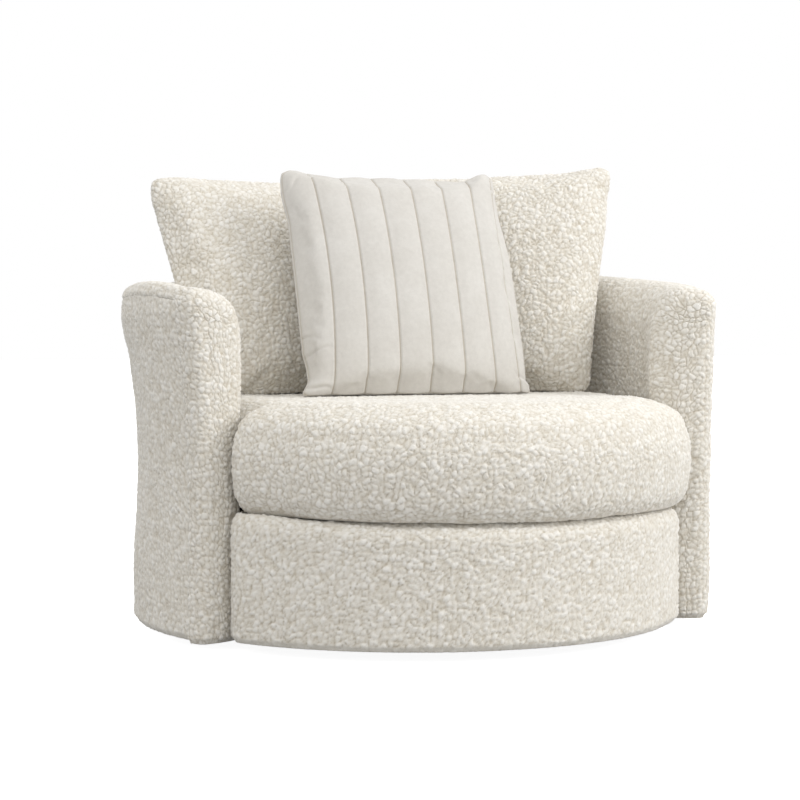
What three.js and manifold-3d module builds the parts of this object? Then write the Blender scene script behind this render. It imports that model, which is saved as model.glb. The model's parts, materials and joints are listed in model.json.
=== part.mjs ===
// Round swivel cuddle chair: a barrel of arms and back round a drum seat, on a recessed swivel base.
// Millimetres, +Z up, front towards -Y, origin on the floor on the swivel's axis.
import * as THREE from 'three';
import { mergeVertices } from 'three/addons/utils/BufferGeometryUtils.js';
import Module from 'manifold-3d';

const wasm = await Module();
wasm.setup();

// Fits shared by all pieces
const GAP = 0.3;
const OVERRUN = 2;
const SKIN_GAP = 1;

// Barrel wall: arms and back in one
const FLOOR_GAP = 22;
const ARM_ANGLE = THREE.MathUtils.degToRad(62.5);
const WALL_STEPS = 30;
const INNER_R = 485;
const WALL_WIDTH = 92;
const WAIST_R = INNER_R + WALL_WIDTH;
const FOOT_FLARE = 7;
const TOP_FLARE = 29;
const WAIST_SHARE = 0.38;
const FLARE_POWER = 1.8;
const ARM_TOP = 676;
const RIM_RISE = 66;
const RIM_POWER = 1.4;
const SEAM_DROP = 28;
const ROLL_WIDTH = 90;
const ROLL_DROP = 95;
const ROLL_EDGE = 31;
const INSIDE_PADDING = 26;
const OUTSIDE_PADDING = 10;
const FACING_THICKNESS = 45;
const FACING_ROUND = 30;
const FACING_FOOT_ROUND = 10;
const FACING_FOCUS_DROP = 60;

// Drum front
const FRONT_CENTRE_Y = 35;
const DRUM_REACH = 80;
const FRONT_R = INNER_R + DRUM_REACH;
const FRONT_CORNER_R = 50;
const DRUM_TOP = 256.5;
const DRUM_PADDING = 22;
const DRUM_LIP = 45;
const DRUM_ROUND = 34;
const DRUM_HEM = 3;
const DRUM_LIP_THICKNESS = 20;
const FACING_GAP = 0.5;

// Timber frame
const BOARD = 18;
const PANEL_THICKNESS = 9;
const NECK_GAP = 7;
const NECK_R = INNER_R - NECK_GAP;
const DUST_COVER_THICKNESS = 1.4;
const RING_LEDGE = 55;
const RING_HOLE_R = INNER_R - RING_LEDGE;
const RIB_LEDGE = 5;
const LEDGE_R = INNER_R - RIB_LEDGE;
const DECK_TOP = 214;
const RIB_COUNT = 7;
const RIB_CLEARANCE = 1.3;
const RIB_INNER_R = INNER_R + INSIDE_PADDING + SKIN_GAP + GAP;
const HOOP_DROP = 38;
const HOOP_WIDTH = 44;
const HOOP_EDGE_SETBACK = 8;
const RAIL_WIDTH = 60;
const RAIL_HEIGHT = 40;
const RAIL_END_GAP = 4;
const POST_SIDES = 16;

// Suspension and deck pad
const SPRING_COUNT = 5;
const SPRING_SPACING = 150;
const SPRING_WIRE_R = 2.2;
const SPRING_HALF_WIDTH = 34;
const SPRING_PITCH = 44;
const SPRING_CROWN = 14;
const SPRING_SEAT = 12;
const CLIP_THICKNESS = 1.8;
const CLIP_FIT = 0.4;
const CLIP_WIDTH = 18;
const CLIP_LIP = 5;
const CLIP_TAIL = 20;
const TIE_WIRE_R = 1.5;
const TIE_OFFSET = 150;

// Swivel base
const GLIDE_R = 20;
const GLIDE_HEIGHT = 14;
const TUBE_R = 11;
const TUBE_RING_R = 290;
const TUBE_LIFT = 8;
const SPOKE_WIDTH = 36;
const SPOKE_HEIGHT = 10;
const HUB_R = 90;
const HUB_THICKNESS = 4;
const PLATE_R = 135;
const PLATE_THICKNESS = 2.5;
const PLATE_BORE_R = 14;
const BALL_TRACK_R = 120;
const BALL_R = 3.5;
const BALL_PLAY = 0.05;
const BALL_COUNT = 10;
const TRACK_HALF_WIDTH = 5;
const TRACK_FLOOR_HALF_WIDTH = 2.5;
const LOWER_TRACK_DEPTH = 2.2;
const UPPER_TRACK_DEPTH = 0.9;
const CAGE_HALF_WIDTH = 8;
const CAGE_THICKNESS = 1.2;
const BOLT_R = 4;
const BOLT_HEAD_R = 7;
const BOLT_HEAD = 2.7;
const BOLT_CLEARANCE = 0.4;
const BASE_BOLT_CIRCLE_R = 50;
const FRAME_BOLT_CIRCLE_R = 90;
const FRAME_BOLT_LENGTH = 28;
const PIVOT_R = 8;
const PIVOT_HEAD_R = 13;
const PIVOT_HEAD = 6;
const PIVOT_CLEARANCE = 0.8;
const NUT_R = 14;
const NUT_HEIGHT = 8;
const NUT_POCKET_R = 24;
const CENTRE_GLIDE_R = 30;
const DUST_HOLE_GAP = 30;
const DUST_HOLE_R = TUBE_RING_R + DUST_HOLE_GAP;

// Loose cushions
const SEAT_BOTTOM = DRUM_TOP + GAP;
const SEAT_OVERHANG = 13;
const SEAT_CORNER_R = 48;
const SEAT_WALL_GAP = 5;
const SEAT_EDGE_TOP = 455;
const SEAT_CROWN = 17;
const SEAT_CROWN_REACH = 15;
const SEAT_CROWN_R = INNER_R + SEAT_CROWN_REACH;
const SEAT_ROUND = 62;
const SEAT_CENTRE_Y = -60;
const PILLOW_TRIM = 5;
const PILLOW_WIDTH = INNER_R - PILLOW_TRIM;
const PILLOW_HEIGHT = 510;
const PILLOW_THICKNESS = 180;
const SCATTER_WIDTH = 486;
const SCATTER_HEIGHT = 488;
const SCATTER_THICKNESS = 150;
const CHANNEL_COUNT = 8;
const CHANNEL_DEPTH = 9;
const EDGE_DRAW_SHARE = 0.05;
const CORNER_TUCK_SHARE = 0.045;
const PILLOW_TAPER_SHARE = 0.11;
const LEFT_ASIDE = 12;
const LEFT_STANDOFF = 181;
const LEFT_SINK = 24;
const RIGHT_ASIDE = 2;
const RIGHT_STANDOFF = 202;
const RIGHT_SINK = 10;
const SCATTER_ASIDE = 29;
const SCATTER_OVERLAP = 48;
const SCATTER_SINK = 8;

// Derived levels of the base and frame, from the floor up
const TUBE_CENTRE_Z = TUBE_LIFT + TUBE_R;
const SPOKE_TOP = TUBE_LIFT + 2 * TUBE_R;
const SPOKE_BOTTOM = SPOKE_TOP - SPOKE_HEIGHT;
const HUB_TOP = SPOKE_TOP + HUB_THICKNESS;
const LOWER_PLATE_BOTTOM = HUB_TOP + GAP;
const LOWER_PLATE_TOP = LOWER_PLATE_BOTTOM + PLATE_THICKNESS;
const BALL_CENTRE_Z = LOWER_PLATE_TOP - LOWER_TRACK_DEPTH + GAP + BALL_PLAY + BALL_R;
const UPPER_PLATE_BOTTOM = BALL_CENTRE_Z + BALL_R + BALL_PLAY + GAP - UPPER_TRACK_DEPTH;
const UPPER_PLATE_TOP = UPPER_PLATE_BOTTOM + PLATE_THICKNESS;
const RAIL_BOTTOM = UPPER_PLATE_TOP + GAP;
const BASE_RING_TOP = RAIL_BOTTOM - GAP;
const BASE_RING_BOTTOM = BASE_RING_TOP - BOARD;
const FRAME_FLOOR = BASE_RING_TOP + GAP;
const DECK_BOTTOM = DECK_TOP - BOARD;
const SPRING_END_Z = DECK_TOP + CLIP_THICKNESS + CLIP_FIT + SPRING_WIRE_R;
const PAD_BOTTOM = SPRING_END_Z + SPRING_CROWN + SPRING_WIRE_R + GAP;
const PAD_TOP = DRUM_TOP;
const FACING_SWEEP = FACING_THICKNESS / WAIST_R;
const WALL_START = ARM_ANGLE + FACING_SWEEP + GAP / INNER_R;
const HOOP_BOTTOM_DROP = HOOP_DROP + BOARD;

// Materials
const material = (color, roughness, metalness = 0) =>
  new THREE.MeshStandardMaterial({ color, roughness, metalness });
const boucle = () => material(0xe9e4da, 0.95);
const velvet = () => material(0xe7e1d7, 0.75);
const plywood = () => material(0xc9a878, 0.7);
const beech = () => material(0xd2b48c, 0.65);
const steel = () => material(0x8f9296, 0.4, 0.9);
const blackSteel = () => material(0x1d1e20, 0.5, 0.6);
const springSteel = () => material(0x55585c, 0.35, 0.9);
const plastic = () => material(0x232323, 0.6);
const feltCloth = () => material(0x2b2b2d, 0.95);
const padCloth = () => material(0xdad6cc, 0.9);

// Geometry helpers
const polar = (radius, angle) => [radius * Math.sin(angle), -radius * Math.cos(angle)];
const span = (from, to, steps) =>
  Array.from({ length: steps + 1 }, (_, i) => from + ((to - from) * i) / steps);

function solid(positions, triangles) {
  const geometry = new THREE.BufferGeometry();
  geometry.setAttribute('position', new THREE.Float32BufferAttribute(positions, 3));
  geometry.setIndex(triangles);
  if (signedVolume(geometry) < 0) {
    for (let i = 0; i < triangles.length; i += 3) {
      [triangles[i], triangles[i + 1]] = [triangles[i + 1], triangles[i]];
    }
    geometry.setIndex(triangles);
  }
  geometry.computeVertexNormals();
  return geometry;
}

function signedVolume(geometry) {
  const at = geometry.attributes.position;
  const index = geometry.index.array;
  const corner = (i) => new THREE.Vector3().fromBufferAttribute(at, index[i]);
  let six = 0;
  for (let i = 0; i < index.length; i += 3) {
    six += corner(i).dot(corner(i + 1).cross(corner(i + 2)));
  }
  return six;
}

// Joins rings of equally many points; each end is closed by the flat outline given for it.
function loft(rings, flatOutline) {
  const count = rings[0].length;
  const positions = rings.flat(2);
  const triangles = [];
  for (let k = 0; k + 1 < rings.length; k += 1) {
    for (let i = 0; i < count; i += 1) {
      const a = k * count + i;
      const b = k * count + ((i + 1) % count);
      triangles.push(a, b, b + count, a, b + count, a + count);
    }
  }
  const last = (rings.length - 1) * count;
  const outline = flatOutline.map(([x, y]) => new THREE.Vector2(x, y));
  const forward = THREE.ShapeUtils.area(outline) > 0;
  for (const [a, b, c] of THREE.ShapeUtils.triangulateShape(outline, [])) {
    const [p, q] = forward ? [b, c] : [c, b];
    triangles.push(a, q, p, last + a, last + p, last + q);
  }
  return solid(positions, triangles);
}

// Closes a stack of rings with a point at each end.
function domedLoft(bottom, rings, top) {
  const count = rings[0].length;
  const positions = [...rings.flat(2), ...bottom, ...top];
  const bottomIndex = rings.length * count;
  const last = bottomIndex - count;
  const triangles = [];
  for (let i = 0; i < count; i += 1) {
    const next = (i + 1) % count;
    triangles.push(bottomIndex, next, i, bottomIndex + 1, last + i, last + next);
    for (let k = 0; k + 1 < rings.length; k += 1) {
      const a = k * count + i;
      const b = k * count + next;
      triangles.push(a, b, b + count, a, b + count, a + count);
    }
  }
  return solid(positions, triangles);
}

// Moves each point of an anticlockwise outline inward along its mean edge normal.
function insetOutline(points, distance) {
  return points.map(([x, y], i) => {
    const [px, py] = points[Math.max(i - 1, 0)];
    const [nx, ny] = points[Math.min(i + 1, points.length - 1)];
    const length = Math.hypot(nx - px, ny - py);
    return [x - (distance * (ny - py)) / length, y + (distance * (nx - px)) / length];
  });
}

function toManifold(geometry) {
  let bare = geometry.index ? geometry.clone() : geometry;
  bare.deleteAttribute('normal');
  bare.deleteAttribute('uv');
  bare = mergeVertices(bare);
  return new wasm.Manifold(
    new wasm.Mesh({
      numProp: 3,
      vertProperties: new Float32Array(bare.attributes.position.array),
      triVerts: new Uint32Array(bare.index.array),
    }),
  );
}

function fromManifold(body) {
  const mesh = body.getMesh();
  const geometry = new THREE.BufferGeometry();
  geometry.setAttribute('position', new THREE.BufferAttribute(mesh.vertProperties, 3));
  geometry.setIndex(new THREE.BufferAttribute(mesh.triVerts, 1));
  geometry.computeVertexNormals();
  return geometry;
}

const cut = (geometry, tools) =>
  fromManifold(tools.reduce((body, tool) => body.subtract(toManifold(tool)), toManifold(geometry)));
const join = (pieces) =>
  fromManifold(pieces.map(toManifold).reduce((whole, piece) => whole.add(piece)));

// An upright cylinder between two heights
function upright(radius, bottom, top, sides, [x, y] = [0, 0]) {
  const geometry = new THREE.CylinderGeometry(radius, radius, top - bottom, sides);
  geometry.rotateX(Math.PI / 2);
  return geometry.translate(x, y, (bottom + top) / 2);
}

// A flat plate from a plan outline, with optional round holes
function plate(outline, bottom, top, holes = []) {
  const shape = new THREE.Shape(outline.map(([x, y]) => new THREE.Vector2(x, y)));
  for (const { radius, at } of holes) {
    shape.holes.push(new THREE.Path().absarc(at[0], at[1], radius, 0, 2 * Math.PI, true));
  }
  const geometry = new THREE.ExtrudeGeometry(shape, {
    depth: top - bottom,
    bevelEnabled: false,
    curveSegments: 16,
  });
  return geometry.translate(0, 0, bottom);
}

// A turned piece from a closed profile of radius and height
function turned(profile, segments) {
  const points = [...profile, profile[0]].map(([r, z]) => new THREE.Vector2(r, z));
  const onAxis = profile[0][0] === 0;
  const geometry = new THREE.LatheGeometry(onAxis ? points.slice(0, -1) : points, segments);
  return solidify(geometry.rotateX(Math.PI / 2));
}

function solidify(geometry) {
  geometry.deleteAttribute('normal');
  geometry.deleteAttribute('uv');
  const merged = mergeVertices(geometry);
  const kept = [];
  const index = merged.index.array;
  for (let i = 0; i < index.length; i += 3) {
    const [a, b, c] = index.slice(i, i + 3);
    if (a !== b && b !== c && c !== a) kept.push(a, b, c);
  }
  return solid(Array.from(merged.attributes.position.array), kept);
}

// Barrel wall
const turnShare = (angle) => (Math.min(angle, 2 * Math.PI - angle) - ARM_ANGLE) / (Math.PI - ARM_ANGLE);

function rimHeight(angle) {
  const share = Math.max(turnShare(angle), 0);
  return ARM_TOP + RIM_RISE * Math.sin((Math.PI / 2) * share) ** RIM_POWER;
}

// The outer face is narrowest at the waist and flares towards the seam and a little towards the foot.
function outerRadius(z, rim) {
  const share = (z - FLOOR_GAP) / (rim - SEAM_DROP - FLOOR_GAP);
  if (share < WAIST_SHARE) {
    return WAIST_R + FOOT_FLARE * ((WAIST_SHARE - share) / WAIST_SHARE) ** 2;
  }
  return WAIST_R + TOP_FLARE * ((share - WAIST_SHARE) / (1 - WAIST_SHARE)) ** FLARE_POWER;
}

const sideShares = [0.86, 0.7, 0.5, 0.28, 0];
const rollAngles = [0, 30, 55, 75, 90].map(THREE.MathUtils.degToRad);
const edgeAngles = [60, 30].map(THREE.MathUtils.degToRad);

// Radius and height of the inside face, from a given foot up over the roll to the outer seam
function pulloverLine(rim, foot) {
  const crest = INNER_R + ROLL_WIDTH;
  const seamZ = rim - SEAM_DROP;
  const inner = rollAngles.map((a) => [
    crest - ROLL_WIDTH * Math.cos(a),
    rim - ROLL_DROP + ROLL_DROP * Math.sin(a),
  ]);
  const outer = edgeAngles.map((a) => [crest + ROLL_EDGE * Math.cos(a), seamZ + SEAM_DROP * Math.sin(a)]);
  return [[INNER_R, foot], ...inner, ...outer, [crest + ROLL_EDGE, seamZ]];
}

const sideLine = (rim) =>
  sideShares.map((share) => {
    const z = FLOOR_GAP + share * (rim - SEAM_DROP - FLOOR_GAP);
    return [outerRadius(z, rim), z];
  });

function sweepRound(section, angles) {
  const rings = angles.map((angle) =>
    section(angle).map(([r, z]) => [...polar(r, angle), z]),
  );
  return loft(rings, section(angles[0]));
}

const wallAngles = span(WALL_START, 2 * Math.PI - WALL_START, WALL_STEPS);

// The padded pull-over: inside face, top roll and outer lip down to the seam
function insideCoverSection(angle) {
  const face = pulloverLine(rimHeight(angle), PAD_BOTTOM);
  const back = insetOutline([...face].reverse(), INSIDE_PADDING);
  back[0] = [face.at(-1)[0] - INSIDE_PADDING, face.at(-1)[1]];
  back[back.length - 1] = [INNER_R + INSIDE_PADDING, PAD_BOTTOM];
  return [...face, ...back];
}

function outsideCoverSection(angle) {
  const rim = rimHeight(angle);
  const seamZ = rim - SEAM_DROP - GAP;
  const face = [[outerRadius(seamZ, rim), seamZ], ...sideLine(rim)];
  return [...face, ...[...face].reverse().map(([r, z]) => [r - OUTSIDE_PADDING, z])];
}

// A facing panel closes an arm's front: its edge rounds in towards the arm's middle line.
// Each pair of shares is a step of the rounding, inward and back from the front plane.
const facingRoundShares = [[1, 0], [0.62, 0.08], [0.29, 0.29], [0.08, 0.62], [0, 1]];

function facingPanel(side) {
  const inside = [FLOOR_GAP, DRUM_TOP, SEAT_EDGE_TOP].map((z) => [INNER_R, z]);
  const outline = [...inside, ...pulloverLine(ARM_TOP, FLOOR_GAP).slice(1), ...sideLine(ARM_TOP)];
  const turn = (angle) => (side > 0 ? angle : 2 * Math.PI - angle);
  const ring = (inward, back) =>
    outline.map(([r, z]) => {
      const low = r === INNER_R && z < SEAT_EDGE_TOP;
      const round = low ? FACING_FOOT_ROUND : FACING_ROUND;
      const aimR = (INNER_R + outerRadius(z, ARM_TOP)) / 2;
      const aimZ = Math.min(z, ARM_TOP - FACING_FOCUS_DROP);
      const share = (inward * round) / Math.hypot(aimR - r, aimZ - z);
      const angle = turn(ARM_ANGLE + (back * round) / WAIST_R);
      return [...polar(r + (aimR - r) * share, angle), z + (aimZ - z) * share];
    });
  const rings = facingRoundShares.map(([inward, back]) => ring(inward, back));
  rings.push(outline.map(([r, z]) => [...polar(r, turn(ARM_ANGLE + FACING_SWEEP)), z]));
  return loft(rings, outline);
}

// A rib carries the hoop on its top and the seat deck on a ledge.
function ribSection(angle) {
  const rim = rimHeight(angle);
  const top = rim - HOOP_BOTTOM_DROP - GAP;
  const hoopInner = hoopRadii(rim)[0];
  const outer = [1, ...sideShares.slice(0, -1)].map((share) => {
    const z = FRAME_FLOOR + share * (top - FRAME_FLOOR);
    return [outerRadius(z, rim) - OUTSIDE_PADDING - RIB_CLEARANCE, z];
  });
  const foot = [outerRadius(FRAME_FLOOR, rim) - OUTSIDE_PADDING - RIB_CLEARANCE, FRAME_FLOOR];
  const ledge = DECK_BOTTOM - GAP;
  const shoulder = [RIB_INNER_R, rim - ROLL_DROP];
  return [[LEDGE_R, FRAME_FLOOR], [LEDGE_R, ledge], [RIB_INNER_R, ledge], shoulder, [hoopInner, top],
    ...outer, foot];
}

function hoopRadii(rim) {
  const outer = outerRadius(rim - HOOP_BOTTOM_DROP, rim) - OUTSIDE_PADDING - HOOP_EDGE_SETBACK;
  return [outer - HOOP_WIDTH, outer];
}

function hoopSection(angle) {
  const rim = rimHeight(angle);
  const [inner, outer] = hoopRadii(rim);
  const bottom = rim - HOOP_BOTTOM_DROP;
  const top = rim - HOOP_DROP;
  return [[inner, bottom], [inner, top], [outer, top], [outer, bottom]];
}

function ribAngles() {
  const half = BOARD / 2 / WAIST_R;
  return span(WALL_START + half, 2 * Math.PI - WALL_START - half, RIB_COUNT - 1).map((middle) => [
    middle - half,
    middle + half,
  ]);
}

// Drum plan: a front arc that turns a corner in front of each facing
function cornerCentre(radius, corner, gap) {
  const reach = radius - corner;
  const offset = corner + gap;
  const half = FRONT_CENTRE_Y * Math.cos(ARM_ANGLE);
  const rest = offset ** 2 + 2 * FRONT_CENTRE_Y * offset * Math.sin(ARM_ANGLE) + FRONT_CENTRE_Y ** 2;
  const along = -half + Math.sqrt(half ** 2 - rest + reach ** 2);
  const [dx, dy] = polar(along, ARM_ANGLE);
  return [dx - offset * Math.cos(ARM_ANGLE), dy - offset * Math.sin(ARM_ANGLE)];
}

// Right half of the front, from the middle round to the facing, each with its outward direction
function frontHalf(radius, corner, gap, arcSteps = 12, cornerSteps = 5) {
  const [kx, ky] = cornerCentre(radius, corner, gap);
  const turn = Math.atan2(kx, FRONT_CENTRE_Y - ky);
  const arc = span(0, turn, arcSteps).map((a) => {
    const [nx, ny] = polar(1, a);
    return { x: radius * nx, y: FRONT_CENTRE_Y + radius * ny, nx, ny };
  });
  const bend = span(turn, ARM_ANGLE + Math.PI / 2, cornerSteps).slice(1).map((a) => {
    const [nx, ny] = polar(1, a);
    return { x: kx + corner * nx, y: ky + corner * ny, nx, ny };
  });
  return [...arc, ...bend];
}

const mirrored = (stations) => stations.map(({ x, y, nx, ny }) => ({ x: -x, y, nx: -nx, ny }));
const frontPath = (...sizes) => {
  const right = frontHalf(...sizes);
  return [...mirrored(right).reverse(), ...right.slice(1)];
};

// Closed plan outline: the front, a neck past each facing, and the round back
function planOutline({ radius, corner, gap, neck, back, arcSteps = 12, cornerSteps = 5, backSteps = 12 }) {
  const front = frontHalf(radius, corner, gap, arcSteps, cornerSteps);
  const [nx, ny] = polar(neck, ARM_ANGLE);
  const neckFront = [nx - gap * Math.cos(ARM_ANGLE), ny - gap * Math.sin(ARM_ANGLE)];
  const round = span(WALL_START, Math.PI, backSteps).map((a) => polar(back, a));
  const neckBack = back > neck ? [polar(neck, WALL_START)] : [];
  const half = [...front.map(({ x, y }) => [x, y]), neckFront, ...neckBack, ...round];
  const other = half.slice(1, -1).reverse().map(([x, y]) => [-x, y]);
  return [...half, ...other];
}

// The drum's own outline drawn in by an inset
const drumOutline = (inset, neck, back) =>
  planOutline({
    radius: FRONT_R - inset, corner: FRONT_CORNER_R - inset, gap: FACING_GAP + inset, neck, back,
  });

function drumCover() {
  const lipBottom = DRUM_TOP - DRUM_LIP_THICKNESS;
  const round = [0, 30, 60, 90].map(THREE.MathUtils.degToRad).map((a) => [
    -DRUM_ROUND * (1 - Math.cos(a)),
    DRUM_TOP - DRUM_ROUND * (1 - Math.sin(a)),
  ]);
  const hem = [[-DRUM_PADDING, FLOOR_GAP], [-DRUM_HEM, FLOOR_GAP], [0, FLOOR_GAP + DRUM_PADDING]];
  const lip = [[-DRUM_LIP, DRUM_TOP], [-DRUM_LIP, lipBottom], [-DRUM_PADDING, lipBottom]];
  const section = [...hem, ...round, ...lip];
  const rings = frontPath(FRONT_R, FRONT_CORNER_R, FACING_GAP).map((s) =>
    section.map(([d, z]) => [s.x + d * s.nx, s.y + d * s.ny, z]),
  );
  return loft(rings, section);
}

const FRAME_INSET = DRUM_PADDING + GAP;
const POST_R = FRONT_CORNER_R - FRAME_INSET - GAP;
const postCentre = cornerCentre(
  FRONT_R - FRAME_INSET, FRONT_CORNER_R - FRAME_INSET, FACING_GAP + FRAME_INSET,
);

function frontPanel() {
  const outer = FRONT_R - DRUM_PADDING - SKIN_GAP;
  const inner = outer - PANEL_THICKNESS;
  const [kx, ky] = postCentre;
  const turn = Math.atan2(kx, FRONT_CENTRE_Y - ky);
  const offset = inner - Math.hypot(kx, ky - FRONT_CENTRE_Y);
  const end = turn - (Math.sqrt(POST_R ** 2 - offset ** 2) + GAP + OVERRUN) / inner;
  const arc = (radius, from, to) =>
    span(from, to, 20).map((a) => [radius * Math.sin(a), FRONT_CENTRE_Y - radius * Math.cos(a)]);
  return plate([...arc(outer, -end, end), ...arc(inner, end, -end)], FRAME_FLOOR, DECK_BOTTOM - GAP);
}

// Suspension
const springReach = (SPRING_SPACING * (SPRING_COUNT - 1)) / 2;
const springOffsets = span(-springReach, springReach, SPRING_COUNT - 1);
const springEnd = (x) => Math.sqrt(RING_HOLE_R ** 2 - x ** 2) + SPRING_SEAT;

// A zigzag spring: straight legs across, joined by half-round bends, arched from clip to clip
class ZigzagCurve extends THREE.Curve {
  constructor(offset) {
    super();
    this.offset = offset;
    this.end = springEnd(offset);
    this.legs = 2 * Math.round(this.end / SPRING_PITCH) + 1;
    this.pitch = (2 * this.end) / (this.legs - 1);
    this.bend = this.pitch / 2;
    this.leg = 2 * (SPRING_HALF_WIDTH - this.bend);
    this.stride = this.leg + Math.PI * this.bend;
    this.total = this.legs * this.stride - Math.PI * this.bend;
  }

  getPoint(t, target = new THREE.Vector3()) {
    const travelled = Math.min(t * this.total, this.total * (1 - Number.EPSILON));
    const leg = Math.floor(travelled / this.stride);
    const along = travelled - leg * this.stride;
    const side = leg % 2 ? -1 : 1;
    const half = this.leg / 2;
    let x = side * (Math.min(along, this.leg) - half);
    let y = leg * this.pitch - this.end;
    if (along > this.leg) {
      const angle = (along - this.leg) / this.bend;
      x += side * this.bend * Math.sin(angle);
      y += this.bend * (1 - Math.cos(angle));
    }
    const z = SPRING_END_Z + SPRING_CROWN * (1 - (y / this.end) ** 2);
    return target.set(this.offset + x, y, z);
  }
}

const circleShape = (radius, sides) =>
  new THREE.Shape(
    span(0, 2 * Math.PI, sides).slice(0, -1).map((a) => new THREE.Vector2(...polar(radius, a))),
  );

function zigzagSpring(offset) {
  const path = new ZigzagCurve(offset);
  path.arcLengthDivisions = path.legs * 16;
  const geometry = new THREE.ExtrudeGeometry(circleShape(SPRING_WIRE_R, 5), {
    steps: path.legs * 4,
    extrudePath: path,
  });
  return solidify(geometry);
}

// A clip is a rolled hook that holds the spring's last leg, open towards the seat's middle.
function springClip(offset, side) {
  const inner = SPRING_WIRE_R + CLIP_FIT;
  const roof = 2 * inner + CLIP_THICKNESS;
  const profile = [
    [-inner * 2, -OVERRUN],
    [CLIP_TAIL, -OVERRUN],
    [CLIP_TAIL, CLIP_THICKNESS],
    [inner + CLIP_THICKNESS, CLIP_THICKNESS],
    [inner + CLIP_THICKNESS, roof + CLIP_THICKNESS],
    [-CLIP_LIP, roof + CLIP_THICKNESS],
    [-CLIP_LIP, roof],
    [inner, roof],
    [inner, CLIP_THICKNESS],
    [-inner * 2, CLIP_THICKNESS],
  ];
  const rings = [-CLIP_WIDTH / 2, CLIP_WIDTH / 2].map((dx) =>
    profile.map(([dy, dz]) => [offset + dx, side * (springEnd(offset) + dy), DECK_TOP + dz]),
  );
  return loft(rings, profile);
}

function deckRing() {
  const board = plate(drumOutline(FRAME_INSET, NECK_R, RIB_INNER_R - SKIN_GAP), DECK_BOTTOM, DECK_TOP, [
    { radius: RING_HOLE_R, at: [0, 0] },
  ]);
  const clips = springOffsets.flatMap((x) => [springClip(x, -1), springClip(x, 1)]);
  return join([board, ...clips]);
}

function tieWire(y) {
  const outermost = springOffsets.at(-1);
  const lowest = SPRING_END_Z + SPRING_CROWN * (1 - (y / springEnd(outermost)) ** 2);
  const reach = outermost + SPRING_HALF_WIDTH;
  const geometry = new THREE.CylinderGeometry(TIE_WIRE_R, TIE_WIRE_R, 2 * reach, 6);
  geometry.rotateZ(Math.PI / 2);
  return geometry.translate(0, y, lowest - SPRING_WIRE_R - TIE_WIRE_R - GAP);
}

// Swivel base
function trackProfile(face, back, depth) {
  const down = Math.sign(back - face);
  const at = (sign, half) => BALL_TRACK_R + sign * half;
  return [
    [PLATE_BORE_R, face],
    [at(-1, TRACK_HALF_WIDTH), face],
    [at(-1, TRACK_FLOOR_HALF_WIDTH), face + down * depth],
    [at(1, TRACK_FLOOR_HALF_WIDTH), face + down * depth],
    [at(1, TRACK_HALF_WIDTH), face],
    [PLATE_R, face],
    [PLATE_R, back],
  ];
}

// The lower plate is pressed, so the track's back stands out below it.
function lowerPlate() {
  const back = LOWER_PLATE_TOP - PLATE_THICKNESS;
  const bulge = LOWER_PLATE_TOP - LOWER_TRACK_DEPTH - PLATE_THICKNESS;
  const wall = TRACK_HALF_WIDTH + PLATE_THICKNESS / 2;
  const floor = TRACK_FLOOR_HALF_WIDTH + PLATE_THICKNESS / 2;
  const profile = [
    ...trackProfile(LOWER_PLATE_TOP, back, LOWER_TRACK_DEPTH),
    [BALL_TRACK_R + wall, back],
    [BALL_TRACK_R + floor, bulge],
    [BALL_TRACK_R - floor, bulge],
    [BALL_TRACK_R - wall, back],
    [PLATE_BORE_R, back],
  ];
  return cut(turned(profile, 24), boltPlaces(BASE_BOLT_CIRCLE_R).map((at) =>
    upright(BOLT_R + BOLT_CLEARANCE, back - OVERRUN, LOWER_PLATE_TOP + OVERRUN, 8, at),
  ));
}

function upperPlate() {
  const profile = [
    ...trackProfile(UPPER_PLATE_BOTTOM, UPPER_PLATE_TOP, UPPER_TRACK_DEPTH),
    [PLATE_BORE_R, UPPER_PLATE_TOP],
  ];
  return cut(turned(profile, 24), boltPlaces(FRAME_BOLT_CIRCLE_R).map((at) =>
    upright(BOLT_R + BOLT_CLEARANCE, UPPER_PLATE_BOTTOM - OVERRUN, UPPER_PLATE_TOP + OVERRUN, 8, at),
  ));
}

const boltPlaces = (radius) => span(0, 1.5 * Math.PI, 3).map((a) => polar(radius, a));

function ballCage() {
  const half = CAGE_THICKNESS / 2;
  const [inner, outer] = [BALL_TRACK_R - CAGE_HALF_WIDTH, BALL_TRACK_R + CAGE_HALF_WIDTH];
  const ring = turned(
    [[inner, BALL_CENTRE_Z - half], [outer, BALL_CENTRE_Z - half], [outer, BALL_CENTRE_Z + half],
      [inner, BALL_CENTRE_Z + half]],
    32,
  );
  const balls = span(0, 2 * Math.PI, BALL_COUNT).slice(0, -1).map((a) => {
    const [x, y] = polar(BALL_TRACK_R, a);
    return new THREE.SphereGeometry(BALL_R, 8, 5).rotateX(Math.PI / 2).translate(x, y, BALL_CENTRE_Z);
  });
  return join([ring, ...balls]);
}

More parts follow.
